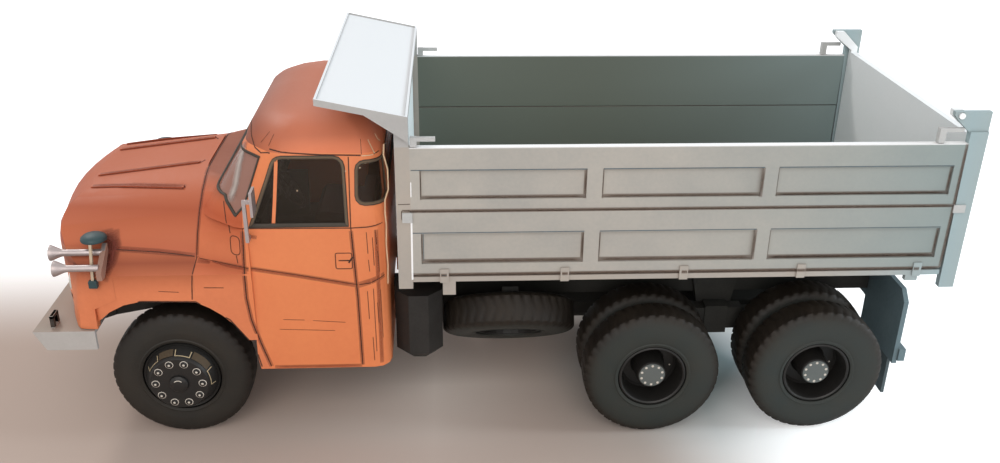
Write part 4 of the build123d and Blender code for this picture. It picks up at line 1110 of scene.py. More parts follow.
# Wheels
@dataclass
class TyreForm:
    """Tyre of laminated card with a notched shoulder, about the Y axis and centred on the origin."""

    radius: float = WHEEL_RADIUS
    width: float = 9.0
    bore: float = 8.4
    lug_count: int = 42
    steps: int = 6
    groove_depth: float = 0.42
    groove_shade: float = 0.4
    lug_lean: float = 0.75

    def profile(self) -> list[tuple[float, float, float, float]]:
        """Give the tyre's section.

        Returns:
            (radius, y, share of the groove's depth, tread strength) from the inner bead round to the outer bead.
        """
        half = self.width / 2
        top = self.radius
        # The tread strength darkens the shoulders towards the tread's colour: partly the tread's darker card, partly
        # painted shade.
        outer = [(self.bore, 0.80, 0.0, 0.3), (self.bore + 0.15, 0.93, 0.0, 0.2), (self.bore + 0.8, 0.985, 0.0, 0.0),
                 (self.bore + 1.1, 0.95, 0.0, 0.15), (self.bore + 2.4, 0.99, 0.0, 0.0),
                 (top - 4.4, 1.0, 0.0, 0.0), (top - 3.0, 0.98, 0.0, 0.1), (top - 2.0, 0.94, 0.0, 0.35),
                 (top - 1.3, 0.885, 0.3, 0.7), (top - 0.6, 0.80, 0.8, 0.95), (top - 0.12, 0.68, 1.0, 1.0)]
        middle = [(top - 0.05, 0.44, 0.8, 1.0), (top, 0.2, 0.45, 1.0), (top, 0.0, 0.3, 1.0)]
        rows = [(r, y * half, groove, tread) for r, y, groove, tread in outer + middle]
        return [(r, -y, groove, tread) for r, y, groove, tread in rows] + rows[-2::-1]

    def add_to(self, mesh: Mesh, where: Matrix) -> None:
        """Add the tyre to a mesh.

        Args:
            mesh: Mesh that takes it.
            where: Matrix that places it.
        """
        count = self.lug_count * self.steps
        rows = self.profile()
        points: list[Vector] = []
        strengths: list[float] = []
        for radius, y, groove, tread in rows:
            lean = int(round(abs(y) / self.width * 2 * self.steps * self.lug_lean))
            for index in range(count):
                phase = (index + lean) % self.steps
                cut = 1.0 if phase == 0 else 0.0
                reach = radius - groove * cut * self.groove_depth
                angle = 2 * math.pi * index / count
                points.append(where @ round_axle(reach, angle, y))
                strengths.append(min(1.0, tread + groove * cut * self.groove_shade))
        faces = []
        for row in range(len(rows)):
            here = row * count
            there = (row + 1) % len(rows) * count
            for index in range(count):
                after = (index + 1) % count
                faces.append([here + index, here + after, there + after, there + index])
        mesh.add(points, faces, strengths)


@dataclass
class Wheels:
    """Six road wheels and the spare: tyres, front discs with nuts and rear dishes with hubs."""

    finishes: Finishes
    tyre_width: float = 9.0
    twin_gap: float = 1.6
    front_face: float = CAB_HALF - 1.5
    rear_face: float = BED_HALF + 0.6
    disc_depth: float = 3.0
    dish_depth: float = 7.0
    nut_ring: float = 5.6
    nut_count: int = 10
    crescent_radius: float = 1.3
    spare_tilt: float = 53.0

    def hub_place(self, station_x: float, side: int) -> Matrix:
        """Give the matrix of a wheel whose outer side faces one side of the truck.

        Args:
            station_x: X of the axle in millimetres.
            side: 1 for the left and -1 for the right.

        Returns:
            The matrix, with Y pointing outward.
        """
        turn = Matrix.Identity(4) if side > 0 else Matrix.Rotation(math.pi, 4, "Z")
        return Matrix.Translation(Vector((station_x, 0, WHEEL_RADIUS)) * MM) @ turn

    def shifted(self, hub: Matrix, y: float) -> Matrix:
        """Move a wheel's matrix outward along its axle."""
        return hub @ Matrix.Translation(Vector((0, y, 0)) * MM)

    def nuts(self, mesh: Mesh, hub: Matrix, y: float, ring: float, radius: float, height: float, phase: float) -> None:
        """Add a ring of low domes.

        Args:
            mesh: Mesh that takes them.
            hub: The wheel's matrix.
            y: Their foot's distance out along the axle.
            ring: Radius of the ring.
            radius: Radius of each dome.
            height: Height of each dome.
            phase: Share of a step by which the ring is turned.
        """
        for index in range(self.nut_count):
            angle = 2 * math.pi * (index + phase) / self.nut_count
            spot = hub @ Matrix.Translation(round_axle(ring, angle, y))
            profile = [(radius, 0.0), (radius * 0.92, height * 0.5), (radius * 0.5, height * 0.9), (0.08, height)]
            mesh.turned(profile, 12, spot)

    def front(self, side: int, name: str) -> None:
        """Build one front wheel.

        Args:
            side: 1 for the left and -1 for the right.
            name: "left" or "right".
        """
        hub = self.hub_place(AXLE_X, side)
        body = f"front_wheel_{name}"
        face = self.front_face
        tyre = Mesh()
        TyreForm(bore=9.4, groove_depth=0.26).add_to(tyre, self.shifted(hub, face - self.tyre_width / 2))
        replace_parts(tyre.piece(f"front_tyre_{name}_form", self.finishes.front_tyre, body, "tyre"),
                    f"front_tyre_{name}")
        disc = Mesh()
        front = face + self.disc_depth
        disc.turned([(8.5, face - 8.0), (9.4, face - 8.1), (9.4, face - 0.9), (9.1, face - 0.3), (8.6, face - 0.5),
                     (8.3, face + 0.3), (7.6, face + 1.8), (7.1, front - 0.3), (6.8, front), (2.4, front),
                     (2.25, front - 0.08), (2.2, front + 0.45), (1.9, front + 0.75), (1.2, front + 0.95),
                     (0.1, front + 1.0)], 72, hub)
        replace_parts(disc.piece(f"front_disc_{name}_form", self.finishes.dish, body, "wheel_disc"),
                    f"front_disc_{name}")
        rings = Mesh()
        self.nuts(rings, hub, front - 0.05, self.nut_ring, 1.06, 0.14, 0.0)
        rings.piece(f"front_nut_rings_{name}", self.finishes.white_print_and_highlight, body, "wheel_disc")
        domes = Mesh()
        self.nuts(domes, hub, front + 0.05, self.nut_ring, 0.84, 0.3, 0.0)
        domes.piece(f"front_nuts_{name}", self.finishes.dish, body, "wheel_disc")
        dots = Mesh()
        self.nuts(dots, hub, front + 0.32, self.nut_ring, 0.3, 0.12, 0.0)
        # A crescent of white dots on the hub cap: a painted highlight.
        for degrees in range(52, 130, 7):
            spot = hub @ Matrix.Translation(round_axle(self.crescent_radius, math.radians(degrees), front + 0.84))
            dots.turned([(0.13, 0.0), (0.13, 0.08), (0.05, 0.14)], 8, spot)
        dots.piece(f"front_nut_dots_{name}", self.finishes.white_print_and_highlight, body, "wheel_disc")
        self.brackets(hub, body, name, face)

    def brackets(self, hub: Matrix, body: str, name: str, face: float) -> None:
        """Print the beige outlines and brown patches between the front disc's openings.

        Args:
            hub: The wheel's matrix.
            body: The CAD body it rides on.
            name: "left" or "right".
            face: Outer face of the tyre.
        """
        outlines = Mesh()
        patches = Mesh()
        slope = [(8.45, face + 0.12), (7.75, face + 1.58), (7.15, face + 2.72)]
        lift = 0.08

        def arc(mesh: Mesh, start: float, end: float, low: float, high: float) -> None:
            """Add a patch of the disc's sloping rim.

            Args:
                mesh: Mesh that takes it.
                start: Its first angle in degrees.
                end: Its last angle in degrees.
                low: Share of the slope's height where it starts.
                high: Share of the slope's height where it ends.
            """
            count = max(2, int(abs(end - start) / 4))
            points = []
            for index in range(count + 1):
                angle = math.radians(start + (end - start) * index / count)
                for share in (low, high):
                    spot = share * (len(slope) - 1)
                    step = min(int(spot), len(slope) - 2)
                    radius, y = Vector(slope[step]).lerp(Vector(slope[step + 1]), spot - step) + Vector((lift, lift))
                    points.append(hub @ round_axle(radius, angle, y))
            faces = [[2 * k, 2 * k + 1, 2 * k + 3, 2 * k + 2] for k in range(count)]
            mesh.add(points, faces)

        for start, end in ((25, 54), (87, 115), (156, 187)):
            arc(outlines, start, end, 0.74, 0.82)
            arc(outlines, start, start + 1.5, 0.2, 0.8)
            arc(outlines, end - 1.5, end, 0.2, 0.8)
        for start, end in ((57, 84), (118, 153)):
            arc(patches, start, end, 0.12, 0.8)
        outlines.piece(f"front_disc_outlines_{name}", self.finishes.beige_print, body, "wheel_disc")
        patches.piece(f"front_disc_patches_{name}", self.finishes.brown_print, body, "wheel_disc")

    def rear(self, axle: str, side: int, name: str) -> None:
        """Build one pair of rear tyres and their dish.

        Args:
            axle: "middle" or "rear".
            side: 1 for the left and -1 for the right.
            name: "left" or "right".
        """
        hub = self.hub_place(middle_mm(f"{axle}_axle").x, side)
        body = f"{axle}_wheel_{name}"
        face = self.rear_face
        tyres = Mesh()
        for out in (face - self.tyre_width / 2, face - 1.5 * self.tyre_width - self.twin_gap):
            TyreForm().add_to(tyres, self.shifted(hub, out))
        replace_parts(tyres.piece(f"{axle}_tyres_{name}_form", self.finishes.tyre, body, "tyre"),
                    f"{axle}_tyres_{name}")
        dish = Mesh()
        floor = face - self.dish_depth
        dish.turned([(7.6, face - 18.8), (8.4, face - 18.8), (8.4, face - 1.0), (8.25, face - 0.5),
                     (7.9, face - 0.35), (7.6, face - 0.6), (7.3, face - 2.2), (7.1, floor + 0.6), (6.6, floor),
                     (4.3, floor - 0.05), (4.0, floor + 0.5), (3.7, face - 1.5), (3.4, face - 1.05),
                     (3.1, face - 1.0), (0.1, face - 1.0)], 72, hub)
        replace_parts(dish.piece(f"{axle}_dish_{name}_form", self.finishes.dish, body, "wheel_disc"),
                    f"{axle}_dish_{name}")
        plate = Mesh()
        plate.turned([(3.2, face - 1.05), (3.2, face - 0.9), (3.0, face - 0.84), (0.1, face - 0.84)], 40, hub)
        plate.piece(f"{axle}_hub_print_{name}", self.finishes.grey_print, body, "wheel_disc")
        dots = Mesh()
        self.nuts(dots, hub, face - 0.86, 2.65, 0.34, 0.12, 0.5)
        for angle, ring in ((1.0, 5.6), (2.2, 5.2), (0.6, 6.0), (3.3, 5.8)):
            spot = hub @ Matrix.Translation(round_axle(ring, angle, floor))
            dots.turned([(0.22, 0.0), (0.2, 0.12), (0.06, 0.18)], 8, spot)
        dots.piece(f"{axle}_hub_dots_{name}", self.finishes.white_print_and_highlight, body, "wheel_disc")

    def spare(self) -> None:
        """Build the spare's tyre, leaning outward under the bed."""
        centre = middle_mm("spare_tyre")
        where = Matrix.Translation(centre * MM) @ Matrix.Rotation(math.radians(-self.spare_tilt), 4, "X")
        tyre = Mesh()
        TyreForm().add_to(tyre, where)
        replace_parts(tyre.piece("spare_tyre_form", self.finishes.tyre, "chassis", "tyre"), "spare_tyre")

    def build(self) -> None:
        """Build all wheels."""
        for side, name in ((1, "left"), (-1, "right")):
            self.front(side, name)
            for axle in ("middle", "rear"):
                self.rear(axle, side, name)
        self.spare()


# Cab
@dataclass
class CabPrint:
    """Printed seams, window rubbers, painted shade along the creases, painted shadows, glints and reflections, and
    small fittings of the cab.
    """

    finishes: Finishes
    line: float = 0.24
    crease: float = 1.5
    hood_seam: float = 6.75
    ink_lift: float = 0.06
    crease_shade_lift: float = 0.03
    top_lift: float = 0.16

    def door_strips(self) -> list[Strip]:
        """Give the seams of the door and of the cab's side.

        Returns:
            The strips.
        """
        handle = round_corner([(39.2, 46.4), (43.0, 46.4), (43.0, 50.4), (39.2, 50.4)], 0.5)
        repeater = round_corner([(15.3, 50.2), (17.5, 50.0), (17.6, 54.6), (15.4, 54.8)], 1.2)
        return [
            Strip(on_side((18.6, 57.2), (18.2, 48), (18.0, 39.4), (18.6, 33.5), (20.2, 27), (22.2, 20.4)), self.line),
            Strip(on_side((43.0, 72.4), (43.1, 57), (43.9, 39), (44.2, 20.4)), self.line),
            Strip(on_side((18.8, 56.9), (30, 56.8), (43.1, 56.7), (47.0, 56.9), (50.2, 57.3)), self.line),
            Strip(on_side((25.2, 73.8), (30.1, 73.3), (36.4, 72.9), (45.8, 72.7)), 0.3),
            Strip(on_side((48.7, 72.7), (50.8, 73.2)), 0.25),
            Strip(((18.9, 0, 73.3), (19.3, 15, 73.3), (20.2, 22, 73.3), (21.3, 26, 73.3), (23.0, 28.8, 73.4),
                   (25.3, 30.3, 73.7)), 0.28, Facing.ROUND),
            Strip(on_side((45.8, 76.0), (46.0, 72.9)), 0.1),
            Strip(on_side((25.1, 76.9), (22.9, 74.4)), 0.12),
            Strip(on_side((26.2, 76.7), (25.0, 74.4)), 0.12),
            Strip(on_side(*handle), 0.2, closed=True),
            Strip(on_side((39.9, 48.5), (42.8, 48.5)), 0.28),
            Strip(on_side((42.2, 47.9), (43.2, 49.4)), 0.4),
            Strip(on_side(*repeater), 0.2, closed=True),
            Strip(on_side((13.6, 61.0), (14.4, 57.6), (15.4, 55.0)), self.line),
            Strip(on_side((16.5, 49.9), (16.7, 48.0)), 0.2),
            Strip(on_side((7.2, 48.2), (18, 47.2), (30, 45.0), (44, 42.2)), 0.14),
            Strip(on_side((44.4, 42.2), (47.0, 42.6), (50.2, 44.0)), 0.2),
            Strip(on_side((26.0, 33.2), (31.0, 33.0)), 0.1),
            Strip(on_side((33.0, 32.8), (40.6, 32.2)), 0.1),
            Strip(on_side((25.0, 30.6), (38.0, 30.0)), 0.1),
            Strip(on_side((-2.0, 41.5), (2.6, 41.2)), 0.12),
            Strip(on_side((8.5, 42.3), (13.0, 42.2)), 0.16),
        ]

    def corner_strips(self) -> list[Strip]:
        """Give the broken upright creases of the rolled rear corner."""
        broken = ((46.6, 55.6, 50.2), (46.8, 48.6, 45.6), (47.9, 54.2, 47.0), (48.6, 56.0, 52.4), (49.0, 50.6, 45.2),
                  (46.2, 40.4, 33.0), (47.6, 41.0, 24.0), (48.4, 37.2, 31.8), (49.2, 40.6, 27.5), (47.0, 28.0, 21.6))
        return [Strip(on_side((station, top), (station + 0.15, foot)), 0.14) for station, top, foot in broken]

    def hood_strips(self) -> list[Strip]:
        """Give the seams of the hood and of the front fender.

        Returns:
            The strips.
        """
        u = self.hood_seam
        seam = Strip(((u, 0, 63.6), (u, 12, 63.0), (u, 19, 60.3), (u, 25, 56.4), (u, 30, 52.9), (u, 33, 48.6),
                      (u - 0.9, 36, 43.0), (u - 1.3, 36.4, 39.2)), self.line, Facing.ROUND)
        crease = Strip(((-13.0, 31.6, 50.2), (-2, 32.2, 49.6), (6.2, 32.6, 48.6)), 0.2, Facing.ROUND)
        return [seam, crease]

    def rib_strips(self) -> list[Strip]:
        """Give the outlines of the hood's pressed ribs.

        Returns:
            The strips.
        """
        strips = []
        rib_half = 0.6
        for offset in (-rib_half, rib_half):
            strips.append(Strip(((-20.8, 9 + offset, 61), (4.0, 9 + offset, 62)), 0.3, Facing.TOP))
            strips.append(Strip(((-20.8, 15 + offset, 61), (2.0, 18.6 + offset, 62)), 0.3, Facing.TOP))
        strips.append(Strip(((3.6, 9.6, 62), (4.7, 8.4, 62), (5.0, 7.6, 62)), 0.4, Facing.TOP))
        strips.append(Strip(((1.6, 19.2, 62), (2.3, 18.7, 62), (1.6, 18.0, 62)), 0.3, Facing.TOP))
        return strips

    def pale_cut_and_glint_strips(self) -> list[Strip]:
        """Give the bare paper of the roof's gore cuts, of the gutter's gap and of the mirror's pin, and painted glints
        on the window film.
        """
        # After the gore cuts, the gutter's gap and the mirror's pin, the pale marks are painted glints on the window
        # film.
        return [Strip(on_side((47.4, 75.7), (48.8, 72.8)), 0.26), Strip(on_side((48.8, 76.3), (50.5, 73.6)), 0.26),
                Strip(on_side((46.0, 72.6), (48.5, 72.6)), 0.22), Strip(on_side((19.1, 55.2), (19.5, 55.2)), 0.5),
                Strip(on_side((30.7, 57.7), (31.0, 57.7)), 0.3), Strip(on_side((38.2, 57.6), (38.5, 57.6)), 0.3),
                Strip(on_side((42.0, 57.7), (42.3, 57.7)), 0.3), Strip(on_side((41.6, 69.8), (41.9, 69.6)), 0.35),
                Strip(on_side((42.2, 69.4), (42.4, 69.2)), 0.3), Strip(on_side((31.1, 65.0), (31.4, 65.0)), 0.35),
                Strip(on_side((27.9, 72.0), (28.6, 72.1)), 0.2), Strip(on_side((29.4, 71.9), (30.4, 72.1)), 0.16),
                Strip(on_side((45.4, 69.9), (45.7, 69.9)), 0.3), Strip(on_side((46.6, 70.9), (46.9, 70.9)), 0.2)]

    def reflection_strips(self) -> list[Strip]:
        """Give the pale reflection that the windscreen shows beside its pillar."""
        return [Strip(((18.3, 21.6, 72.8), (17.75, 23.4, 70.9), (16.9, 26.6, 66.9), (16.5, 28.4, 64.6),
                       (15.4, 30.4, 60.9)), 3.2, Facing.FRONT)]

    def cast_strips(self) -> list[Strip]:
        """Give the dark shade that the marker lamp and the horns leave on the hood's side."""
        return [Strip(on_side((-13.2, 53.4), (-12.2, 51.0), (-12.8, 48.2), (-14.6, 44.8)), 3.2),
                Strip(on_side((-14.4, 53.6), (-13.4, 50.6), (-14.0, 47.6), (-15.2, 45.2)), 2.6),
                Strip(on_side((-21.5, 47.2), (-16.5, 46.8)), 1.4)]

    def plates(self) -> None:
        """Build the dark card inside the footwell and the front end of the wheel bay's wall."""
        lining = Mesh()
        lining.box(place(9.0, -26.4, 29.0), place(25.0, -26.0, 47.0))
        lining.piece("footwell_lining", self.finishes.trim, "chassis", "black_card", smooth=False)
        outline = ((-21.8, 26.3), (-17.3, 27.9), (-17.3, 33.0), (-21.8, 33.0))
        bay = Mesh()
        bay.prism([[place(station, y, z) for station, z in outline] for y in (22.9, 22.5)])
        bay.mirror()
        bay.piece("wheel_bay_fronts", self.finishes.dark, "chassis", "black_card", smooth=False)

    def fender_corners(self) -> None:
        """Build the squarer lower front corners of the fenders over the folded card."""
        above_card = 0.06 * MM
        corner_station = -17.25
        flank_height = 37.5
        skin = Skin("fender_left", "nose", "hood")
        square = ((-17.3, 36.6), (-19.6, 36.45), (-21.3, 36.1), (-22.3, 34.9), (-23.9, 31.6), (-25.2, 28.7),
                  (-26.3, 25.8), (-26.7, 22.6))
        spread = (1.0, 1.0, 1.0, 1.0, 0.9, 0.6, 0.3, 0.0)
        levels = ((31.75, 1.0), (33.4, 0.97), (35.2, 0.9), (37.0, 0.8), (39.4, 0.64), (42.0, 0.45), (45.0, 0.2),
                  (47.6, 0.0))
        mesh = Mesh()
        rows: list[list[int]] = []
        for height, share in levels:
            high = height > flank_height
            flank = skin.find(-12.0 if high else corner_station, 0.0, height, Facing.LEFT)
            row = [flank[0] + Vector((0, 0.05 * MM, 0)) if flank else place(corner_station, 36.0, height)]
            for (station, y), amount in list(zip(square, spread))[:5 if high else None]:
                goal = place(station, y, height)
                inward = (place(-14.0, 27.0, height) - goal).normalized()
                hit, _, _, _ = skin.tree.ray_cast(goal - inward * 3 * MM, inward)
                card = (hit if hit is not None else goal) - inward * above_card
                bulge = max(0.0, (goal - card).dot(-inward)) * share * amount
                row.append(card - inward * bulge)
            rows.append(list(range(len(mesh.points), len(mesh.points) + len(row))))
            mesh.add(row, [])
        for lower, upper in zip(rows, rows[1:]):
            for a, b, c, d in zip(lower, lower[1:], upper[1:], upper):
                mesh.faces.append([a, d, c, b])
        mesh.mirror()
        mesh.piece("fender_corners", self.finishes.fender, "chassis", "orange_card")

    def paper_edge(self) -> None:
        """Build the wavy paper edge down the cab's rear corner."""
        wave = ((51.2, 32.0, 75.8), (51.0, 32.0, 73.2), (51.8, 32.0, 69.8), (51.8, 32.0, 64.8), (50.95, 32.4, 62.3),
                (50.9, 33.0, 59.2), (51.1, 33.2, 56.4), (50.9, 33.4, 51.4), (51.1, 33.4, 46.0), (50.9, 33.4, 41.0))
        half_width = 0.16
        mesh = Mesh()
        points = []
        for station, y, z in wave:
            points += [place(station - half_width, y, z), place(station + half_width, y - 0.1, z)]
        faces = [[2 * k, 2 * k + 2, 2 * k + 3, 2 * k + 1] for k in range(len(wave) - 1)]
        mesh.add(points, faces)
        mesh.mirror()
        mesh.piece("cab_paper_edges", self.finishes.pale_edge_and_glint, "chassis", "orange_card")

    def rubbers(self) -> None:
        """Build the rubber round every window, with its dark outer line and a dark sill below."""
        sill_height = 0.3
        middle = middle_mm("door_glass") * MM
        middle.y = 0.0
        seals = Mesh()
        lines = Mesh()
        for node in ("windscreen", "door_glass", "rear_glass"):
            outline = FilmOutline(node, middle)
            if node == "windscreen":
                outline.sweep(lines, [(-0.3, 0.02), (-0.25, 0.3), (0.05, 0.46), (0.3, 0.42), (0.36, 0.2)])
                continue
            outline.sweep(seals, [(-0.3, 0.02), (-0.26, 0.26), (0.0, 0.46), (0.26, 0.46), (0.34, 0.2)])
            outline.sweep(lines, [(0.3, 0.2), (0.32, 0.44), (0.46, 0.42), (0.5, 0.2)])
            outline.sweep(lines, [(-0.42, 0.02), (-0.4, 0.14), (-0.28, 0.18), (-0.28, 0.02)])
            outline.sweep(lines, [(-0.5, 0.02), (-0.46, 0.4), (0.0, 0.54), (0.36, 0.5), (0.5, 0.2)],
                          box_mm("door_glass")[0].z + sill_height)
        seals.piece("window_rubbers", self.finishes.rubber, "chassis", "black_card")
        lines.piece("window_rubber_lines", self.finishes.seal, "chassis", "black_card")

    def crease_strips(self) -> list[Strip]:
        """Give the soft brown painted shade along the creases, seams and ribs.

        Returns:
            The strips.
        """
        soft = self.crease
        u = self.hood_seam
        return [
            Strip(((-14, 31.4, 50.4), (-2, 32.2, 49.7), (6.2, 32.6, 48.6)), soft, Facing.ROUND),
            Strip(on_side((7, 47.8), (18, 47.0), (30, 44.8), (44, 42.0)), soft * 0.8),
            Strip(on_side((44, 42.0), (50.2, 44.0)), soft),
            Strip(on_side((18.4, 56), (18.2, 48), (18.0, 39.4), (18.6, 33.5), (20.2, 27), (22.2, 20.4)), 1.1),
            Strip(on_side((43.1, 56), (43.9, 39), (44.2, 20.4)), 1.0),
            Strip(on_side((23, 20.2), (44, 20.2)), 0.9),
            Strip(on_side((48.8, 56), (48.9, 20.6)), 1.0),
            Strip(((u, 12, 63.0), (u, 19, 60.3), (u, 25, 56.4), (u, 30, 52.9), (u, 33, 48.6)), 1.2, Facing.ROUND),
            Strip(((-20.8, 9, 61), (4.2, 9, 62)), 1.6, Facing.TOP),
            Strip(((-20.8, 15, 61), (2.2, 18.6, 62)), 1.6, Facing.TOP),
            Strip(on_side((19.2, 55.0), (21.6, 54.6)), 0.9),
        ]

    def arch_strips(self) -> list[Strip]:
        """Give the dark lip of the wheel arch."""
        arch = [(-16.6, 33.0), (-12.6, 36.7), (-6.6, 38.9), (6.2, 38.6), (13.6, 33.6), (18.8, 26.0), (19.9, 20.4)]
        return [Strip(on_side(*arch), 0.3)]

    def build(self) -> None:
        """Lay all the print, painted shade and glints, and build the cab's other pieces."""
        nodes = self.finishes
        skin = Skin("hood", "fender_left", "fender_right", "nose", "cowl", "door_left", "door_right", "cab_back",
                    "roof", "windscreen", "door_glass", "rear_glass")
        for name, strips, material, soft, slot in (
                ("cab_seams", self.door_strips() + self.corner_strips() + self.hood_strips() + self.arch_strips(),
                 nodes.ink, False, "orange_card"),
                ("hood_rib_lines", self.rib_strips(), nodes.rib_ink, False, "orange_card"),
                ("cab_crease_shade", self.crease_strips(), nodes.crease_shade, True, "orange_card")):
            mesh = Mesh()
            for strip in strips:
                skin.lay(mesh, strip, lift=self.crease_shade_lift if soft else self.ink_lift, soft=soft)
            mesh.mirror()
            mesh.piece(name, material, "chassis", slot)
        self.rubbers()
        self.paper_edge()
        self.plates()
        self.fender_corners()
        low = box_mm("door_glass")[0].z
        for name, strips, material, soft, slot in (
                ("vent_dividers", [Strip(on_side((25.6, low + 0.2), (26.1, 63.0), (26.8, 72.2)), 0.8)], nodes.orange,
                 False, "orange_card"),
                ("horn_shades", self.cast_strips(), nodes.cast, True, "orange_card"),
                ("paper_cuts_and_glints", self.pale_cut_and_glint_strips(), nodes.pale_edge_and_glint, False, "orange_card"),
                ("window_reflections", self.reflection_strips(), nodes.streak, True, "film")):
            mesh = Mesh()
            for strip in strips:
                skin.lay(mesh, strip, lift=self.top_lift, soft=soft)
            mesh.mirror()
            mesh.piece(name, material, "chassis", slot)


# Bed
@dataclass
class BedPrint:
    """Painted shade in the panels' recesses and along the boards' edges, dark split lines, printed outlines and pale
    paper edges of the tipping bed.
    """

    finishes: Finishes
    panel_starts: tuple[float, float, float] = (59.2, 100.1, 139.9)
    panel_ends: tuple[float, float, float] = (96.5, 136.6, 180.2)
    lower_panel: tuple[float, float] = (48.9, 56.6)
    upper_panel: tuple[float, float] = (64.8, 71.9)

    def build(self) -> None:
        """Lay the print on the boards."""
        skin = Skin("lower_board_left", "upper_board_left", "bed_posts", "hinge_rails")
        shade_and_joints = Mesh()
        tops = Mesh()
        gaps = Mesh()

        def line(mesh: Mesh, start: tuple[float, float], end: tuple[float, float], width: float,
                 soft: bool = False) -> None:
            """Lay a straight line on the bed's side, printed line and painted shade alike.

            Args:
                mesh: Mesh that takes it.
                start: Its first station and height.
                end: Its last station and height.
                width: Its width.
                soft: Whether it fades out.
            """
            skin.lay(mesh, Strip(on_side(start, end), width), soft=soft)

        # Each panel: soft painted shade along its recess's foot and sides, and its printed top line.
        for start, end in zip(self.panel_starts, self.panel_ends):
            for low, high in (self.lower_panel, self.upper_panel):
                line(shade_and_joints, (start, low + 0.3), (end, low + 0.3), 1.2, soft=True)
                line(shade_and_joints, (start + 0.15, low), (start + 0.15, high), 0.4, soft=True)
                line(shade_and_joints, (end - 0.2, low), (end - 0.2, high), 0.8, soft=True)
                first = start - 1.9 if start == self.panel_starts[0] else start
                line(tops, (first, high + 0.1), (end, high + 0.1), 0.24)
        # More painted shade along the last panels' recess feet.
        for low, _ in (self.lower_panel, self.upper_panel):
            line(shade_and_joints, (self.panel_starts[-1], low + 0.2), (self.panel_ends[-1], low + 0.2), 1.0, soft=True)
        # Painted shade along the split, the bed's foot and its rear end, and the dark split line itself.
        line(shade_and_joints, (BOARD_START - 2.0, BED_SPLIT), (BOARD_END - 0.2, BED_SPLIT), 0.9, soft=True)
        line(shade_and_joints, (BOARD_START, BED_SPLIT - 0.1), (BOARD_END - 0.2, BED_SPLIT - 0.1), 0.3)
        line(shade_and_joints, (BOARD_START, BED_BOTTOM), (BOARD_END, BED_BOTTOM), 0.9, soft=True)
        line(shade_and_joints, (BOARD_END - 0.2, 46), (BOARD_END - 0.2, 79), 0.8, soft=True)
        tab = round_corner([(55.0, 60.0), (57.0, 60.0), (57.0, 62.3), (55.0, 62.3)], 0.3)
        skin.lay(shade_and_joints, Strip(on_side(*tab), 0.22, closed=True))
        line(shade_and_joints, (53.2, 63.8), (56.9, 63.9), 0.2)
        line(tops, (59.7, 56.2), (59.7, 49.4), 0.16)
        line(tops, (57.8, 45.95), (89.3, 46.0), 0.24)
        line(gaps, (57.15, 60.2), (57.0, 44.8), 0.42)
        line(gaps, (57.25, 69.2), (57.2, 65.6), 0.22)
        for name, mesh, material in (("board_shade_and_joints", shade_and_joints, self.finishes.shade_and_joints),
                                     ("panel_top_lines", tops, self.finishes.teal_ink),
                                     ("board_gap_lines", gaps, self.finishes.gap)):
            mesh.mirror()
            mesh.piece(name, material, "bed", "grey_card")


